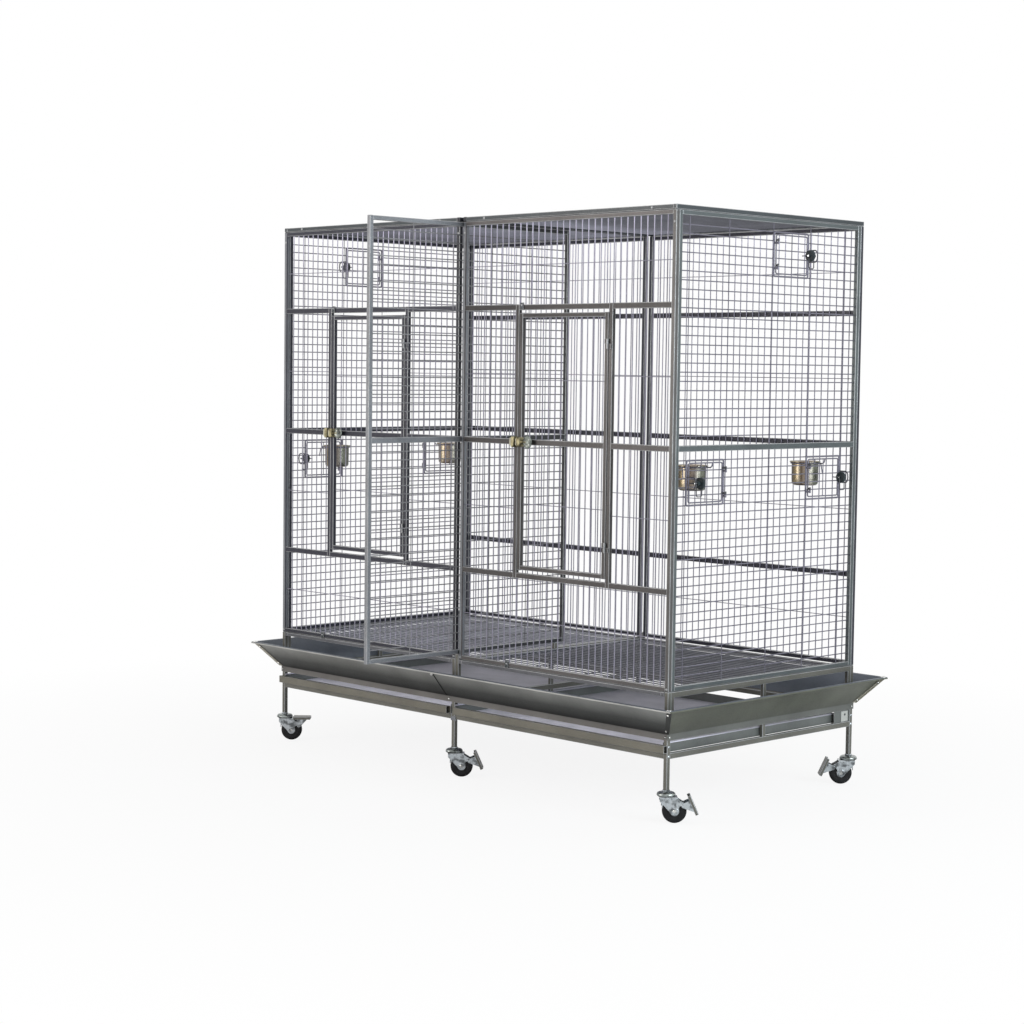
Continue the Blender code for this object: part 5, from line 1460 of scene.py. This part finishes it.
def tray(side_name, side, x):
    """One tray: a lined pan and its folded front."""
    name = side_name + "_tray"
    place = moved(x, CAGE_FRONT - 2 * GAP, TRAY_LOW)
    wide = tray_width(side)
    wall = TRAY_WALL
    top = TRAY_HEIGHT
    floor = ((wall / 2, 0, 0.0002), (wide - wall / 2, TRAY_DEPTH - wall / 2, wall + 0.0002))
    walls = [
        ((0, 0, 0), (wall, TRAY_DEPTH, top)), ((wide - wall, 0, 0), (wide, TRAY_DEPTH, top)),
        ((0, TRAY_DEPTH - wall, 0), (wide, TRAY_DEPTH, top)),
    ]
    x0, x1 = (-OVER_LEG, wide - SHORT_OF_MIDDLE) if side < 0 else (SHORT_OF_MIDDLE, wide + OVER_LEG)
    low = CHANNEL_LOW
    channel = [
        ((x0, -TRAY_FRONT, low), (x1, -TRAY_FRONT + wall, TRAY_LIP)),
        ((x0, -TRAY_FRONT, TRAY_LIP - wall), (x1, GAP, TRAY_LIP)),
        ((x0, -TRAY_FRONT, low), (x1, GAP, low + wall)),
        ((0, -wall, low), (wide, GAP, TRAY_LIP)),
    ]
    lips = [
        ((wall - 0.0003, wall, top - 0.003), (0.0045, TRAY_DEPTH - wall, top - 0.0002)),
        ((wide - 0.0045, wall, top - 0.003), (wide - wall + 0.0003, TRAY_DEPTH - wall, top - 0.0002)),
        ((wide - wall, 0.004, top - 0.0045), (wide + 0.0004, TRAY_DEPTH - 0.004, top - 0.0005)),
        ((-0.0004, 0.004, top - 0.0045), (wall, TRAY_DEPTH - 0.004, top - 0.0005)),
    ]
    parts = [
        blocks(lips + [floor], tray_lining, 0.0004),
        blocks(walls, tray_wall, 0.0006, edge_highlight),
        blocks(channel, tray_coat, 0.0007, edge_highlight),
    ]
    fit(parts, name + "_detail", place, name, "pewter_sheet", name)


near_end = HALF_WIDTH - TUBE - SLIDE_CLEARANCE
near_centre = HALF_TUBE + SLIDE_CLEARANCE
tray("left", -1, -near_end)
tray("right", 1, CENTRE_X + near_centre)

# Grates
# Two welded floor grates above the trays: a tube frame, round bars from side to side and three
# bearers beneath them. They slide on the stand's ledges.
GRATE_TOP = 0.3443
GRATE_HEIGHT = 0.012
GRATE_BAR_PITCH = 0.026
GRATE_BEARER_PITCH = 0.194
GRATE_WIRE = 0.002
grate_coat = coated("grate_coat", (0.125, 0.13, 0.145), (0.3, 0.31, 0.33), 0.4)
# Grate bars painted paler towards the left: painted light.
grate_bars = painted_light_along(
    "X", coated("grate_bar_coat", (0.175, 0.182, 0.205), (0.36, 0.37, 0.4), 0.4, 0.3),
    ((-0.8, 1.9), (-0.1, 1.8), (0.15, 1.05), (0.8, 0.9)),
)


def grate(side_name, x, width):
    """One floor grate, laid flat with its bars on top."""
    name = side_name + "_grate"
    place = moved(x, CAGE_FRONT + GAP, GRATE_TOP) @ laid_flat
    depth = BODY_DEPTH - TUBE
    bars = [level(*inside(width), z, 0.0042) for z in spaced(TUBE, depth - TUBE, GRATE_BAR_PITCH)]
    bearers = spaced(TUBE, width - TUBE, GRATE_BEARER_PITCH)
    bars += [upright(x, *inside(depth), 0.0076) for x in bearers]
    parts = [
        blocks(tube_ring(width, depth, GRATE_HEIGHT), grate_coat, ROUNDING, edge_highlight),
        wires(bars, GRATE_WIRE, grate_bars),
    ]
    fit(parts, name + "_detail", place, name, "pewter_frame", name)


grate("left", -near_end, tray_width(-1))
grate("right", near_centre, near_end - near_centre)

# Casters
# Six swivel casters with pressed zinc forks, black rubber wheels on grey hubs, and pressed brake
# pedals. Each stem is held in the leg's end, and the swivel ring turns on a ball race.
WHEEL_RADIUS = 0.0325
WHEEL_WIDTH = 0.024
TRAIL = 0.022
SWIVEL_LOW = 0.07
SWIVEL_DISC = 0.023
SWIVEL_RING = 0.025
FORK_INSIDE = 0.0132
FORK_SHEET = 0.0025
FORK_OUTSIDE = FORK_INSIDE + FORK_SHEET
FORK_PLATE = 0.0038
FORK_HEEL = 0.0175
FORK_TOE = 0.0295
PIVOT_X = 0.046
PIVOT_Z = 0.048
PEDAL_SHEET = 0.0022
PEDAL_ABOVE = 0.027
PEDAL_SKIRT = 0.0085
PEDAL_END = 0.036
PEDAL_SWING = 66
AXLE_RADIUS = 0.0038
hub_grey = moulded("hub_plastic", (0.13, 0.13, 0.13), 0.45)
dull_zinc = plain_metal("dull_zinc_plate", (0.34, 0.37, 0.36), 0.28)


def pressed(outline, ends, material, rounding):
    """A plate with an XZ outline from one depth to another, its edges rounded."""
    return rounded(skin([[(x, y, z) for x, z in outline] for y in ends]), rounding, material)


def fork_outline():
    """A cheek: drawn in to a round eye at the axle, with a notch below the horn of the pin."""
    top = SWIVEL_LOW - 0.002
    return [
        (-FORK_HEEL, top), (-FORK_HEEL, top - 0.0095), *arc(TRAIL, WHEEL_RADIUS, 0.012, 200, 362, 12),
        *arc(TRAIL + 0.0195, WHEEL_RADIUS + 0.0065, 0.0085, 200, 105, 6),
        *arc(PIVOT_X, PIVOT_Z, 0.007, 290, 400, 6),
        (FORK_TOE + 0.002, top - 0.004), (FORK_TOE - 0.002, top),
    ]


def fork_side(side):
    """One cheek of a fork, with its ribs, axle boss, axle head and pedal pin."""
    ends = sorted((side * FORK_INSIDE, side * (FORK_OUTSIDE - 0.0002)))
    parts = [pressed(fork_outline(), ends, zinc, 0.0009)]
    near, far = sorted((side * (FORK_OUTSIDE - 0.001), side * (FORK_OUTSIDE + 0.0009)))
    ribs = []
    for x in (-0.012, -0.003, 0.006):
        low = WHEEL_RADIUS + 0.02 - abs(x - 0.006) * 0.6
        ribs.append(((x, near, low), (x + 0.0028, far, SWIVEL_LOW - FORK_PLATE + 0.001)))
    parts.append(blocks(ribs, zinc, 0.0007))
    boss = ((0, 0), (0.0105, 0), (0.0102, 0.0008), (0.0072, 0.0012), (0.0068, 0.0006), (0, 0.0006))
    head = ((0, 0), (0.0052, 0), (0.0052, 0.0013), (0.0045, 0.0019), (0.0018, 0.0021), (0, 0.0019))
    pin = ((0, 0), (0.003, 0), (0.003, 0.0033), (0.0022, 0.004), (0, 0.0041))
    facing = turned(-side * 90, "X")
    for profile, x, out, z, material, sides, crease in (
        (boss, TRAIL, FORK_OUTSIDE - 0.0004, WHEEL_RADIUS, zinc, 32, 35),
        (head, TRAIL, FORK_OUTSIDE - 0.0006, WHEEL_RADIUS, bright, 6, 20),
        (pin, PIVOT_X, FORK_INSIDE + 0.0005, PIVOT_Z, bright, 16, 35),
    ):
        parts.append(lathe(profile, material, moved(x, side * out, z) @ facing, sides, crease))
    return parts


def fork(label, place):
    """The swivel ring on its ball race, the fork's plate and cheeks, and the wheel's axle."""
    name = label + "_caster_fork"
    ring = (
        (0, 0.0012), (0.0222, 0.0012), (0.0242, 0.0022), (SWIVEL_RING, 0.0042), (0.0247, 0.0066),
        (0.0236, 0.0090), (0.0214, 0.0109), (0.0182, 0.0120), (0.0138, 0.0124), (0.0105, 0.0127),
        (0, 0.0127),
    )
    race = ((0, 0), (0.0212, 0), (0.0212, 0.0016), (0, 0.0016))
    top = (
        (-FORK_HEEL - 0.0005, -FORK_OUTSIDE, SWIVEL_LOW - FORK_PLATE),
        (FORK_TOE + 0.0005, FORK_OUTSIDE, SWIVEL_LOW + 0.0005),
    )
    swivel = moved(0, 0, SWIVEL_LOW)
    axle = [(TRAIL, y, WHEEL_RADIUS) for y in (-FORK_OUTSIDE, FORK_OUTSIDE)]
    parts = [
        lathe(ring, dull_zinc, swivel, 48),
        lathe(race, hub_grey, swivel),
        blocks([top], zinc, 0.0018),
        *fork_side(-1),
        *fork_side(1),
        wires([axle], AXLE_RADIUS, zinc, 12),
    ]
    fit(parts, name + "_detail", place, name, "zinc", name)


def both_ways(half_profile):
    """A wheel's profile from the half of it on one side of the middle."""
    return [(radius, -out) for radius, out in half_profile] + list(reversed(half_profile))


def wheel(label, place):
    """A tyre with rounded shoulders and shallow side grooves on a dished hub."""
    name = label + "_wheel"
    half = WHEEL_WIDTH / 2
    tyre = (
        (0.0135, half - 0.0012), (0.0215, half - 0.0002), (0.0285, half - 0.0006), (0.0308, half - 0.0022),
        (0.0322, half - 0.005), (WHEEL_RADIUS, 0.002),
    )
    hub = (
        (0.0043, half), (0.0085, half), (0.0092, half - 0.0024), (0.0118, half - 0.0026),
        (0.0132, half - 0.0012), (0.0142, half - 0.0012),
    )
    parts = [
        lathe(both_ways(tyre), black_rubber, sides=64, crease=60),
        lathe(both_ways(hub), hub_grey, crease=30),
    ]
    place = place @ moved(TRAIL, 0, WHEEL_RADIUS) @ turned(90, "X")
    fit(parts, name + "_detail", place, name, "black_rubber", name)


def pedal(label, place, swing):
    """A coated tread folded down at its edges, on two zinc webs that turn on the fork's pins."""
    name = label + "_brake_pedal"
    near = FORK_OUTSIDE + 2 * GAP
    far = near + PEDAL_SHEET
    back = SWIVEL_DISC + 0.004 - PIVOT_X
    skirt = PEDAL_ABOVE - PEDAL_SKIRT
    under = PEDAL_ABOVE - 0.001
    place = place @ moved(PIVOT_X, 0, PIVOT_Z) @ turned(swing, "Y")
    treads = [
        ((back, -far, PEDAL_ABOVE - PEDAL_SHEET), (PEDAL_END, far, PEDAL_ABOVE)),
        ((PEDAL_END - PEDAL_SHEET, -far, skirt), (PEDAL_END, far, under)),
        ((back, -far, skirt), (PEDAL_END, -near, under)),
        ((back, near, skirt), (PEDAL_END, far, under)),
    ]
    high = PEDAL_ABOVE - 0.003
    web = [*arc(0, 0, 0.0064, 180, 315, 6), (0.026, 0.0192), (0.026, high), (-0.0064, high)]
    parts = [blocks(treads, stand_coat, 0.0012, edge_highlight)]
    for side in (-1, 1):
        ends = sorted((side * near, side * (far - 0.0003)))
        parts.append(pressed(web, ends, zinc, 0.0005))
    fit(parts, name + "_detail", place, name, "zinc", name)


leg_x = HALF_WIDTH - HALF_TUBE
for row, y, turn in (("front", CAGE_FRONT + HALF_TUBE, 45), ("back", CAGE_BACK - HALF_TUBE, 225)):
    for column, x in (("left", -leg_x), ("centre", CENTRE_X), ("right", leg_x)):
        caster_name = row + "_" + column
        place = moved(x, y, 0) @ turned(turn)
        fork(caster_name, place)
        wheel(caster_name, place)
        pedal(caster_name, place, 0 if caster_name == "front_left" else PEDAL_SWING)

bpy.context.view_layer.update()
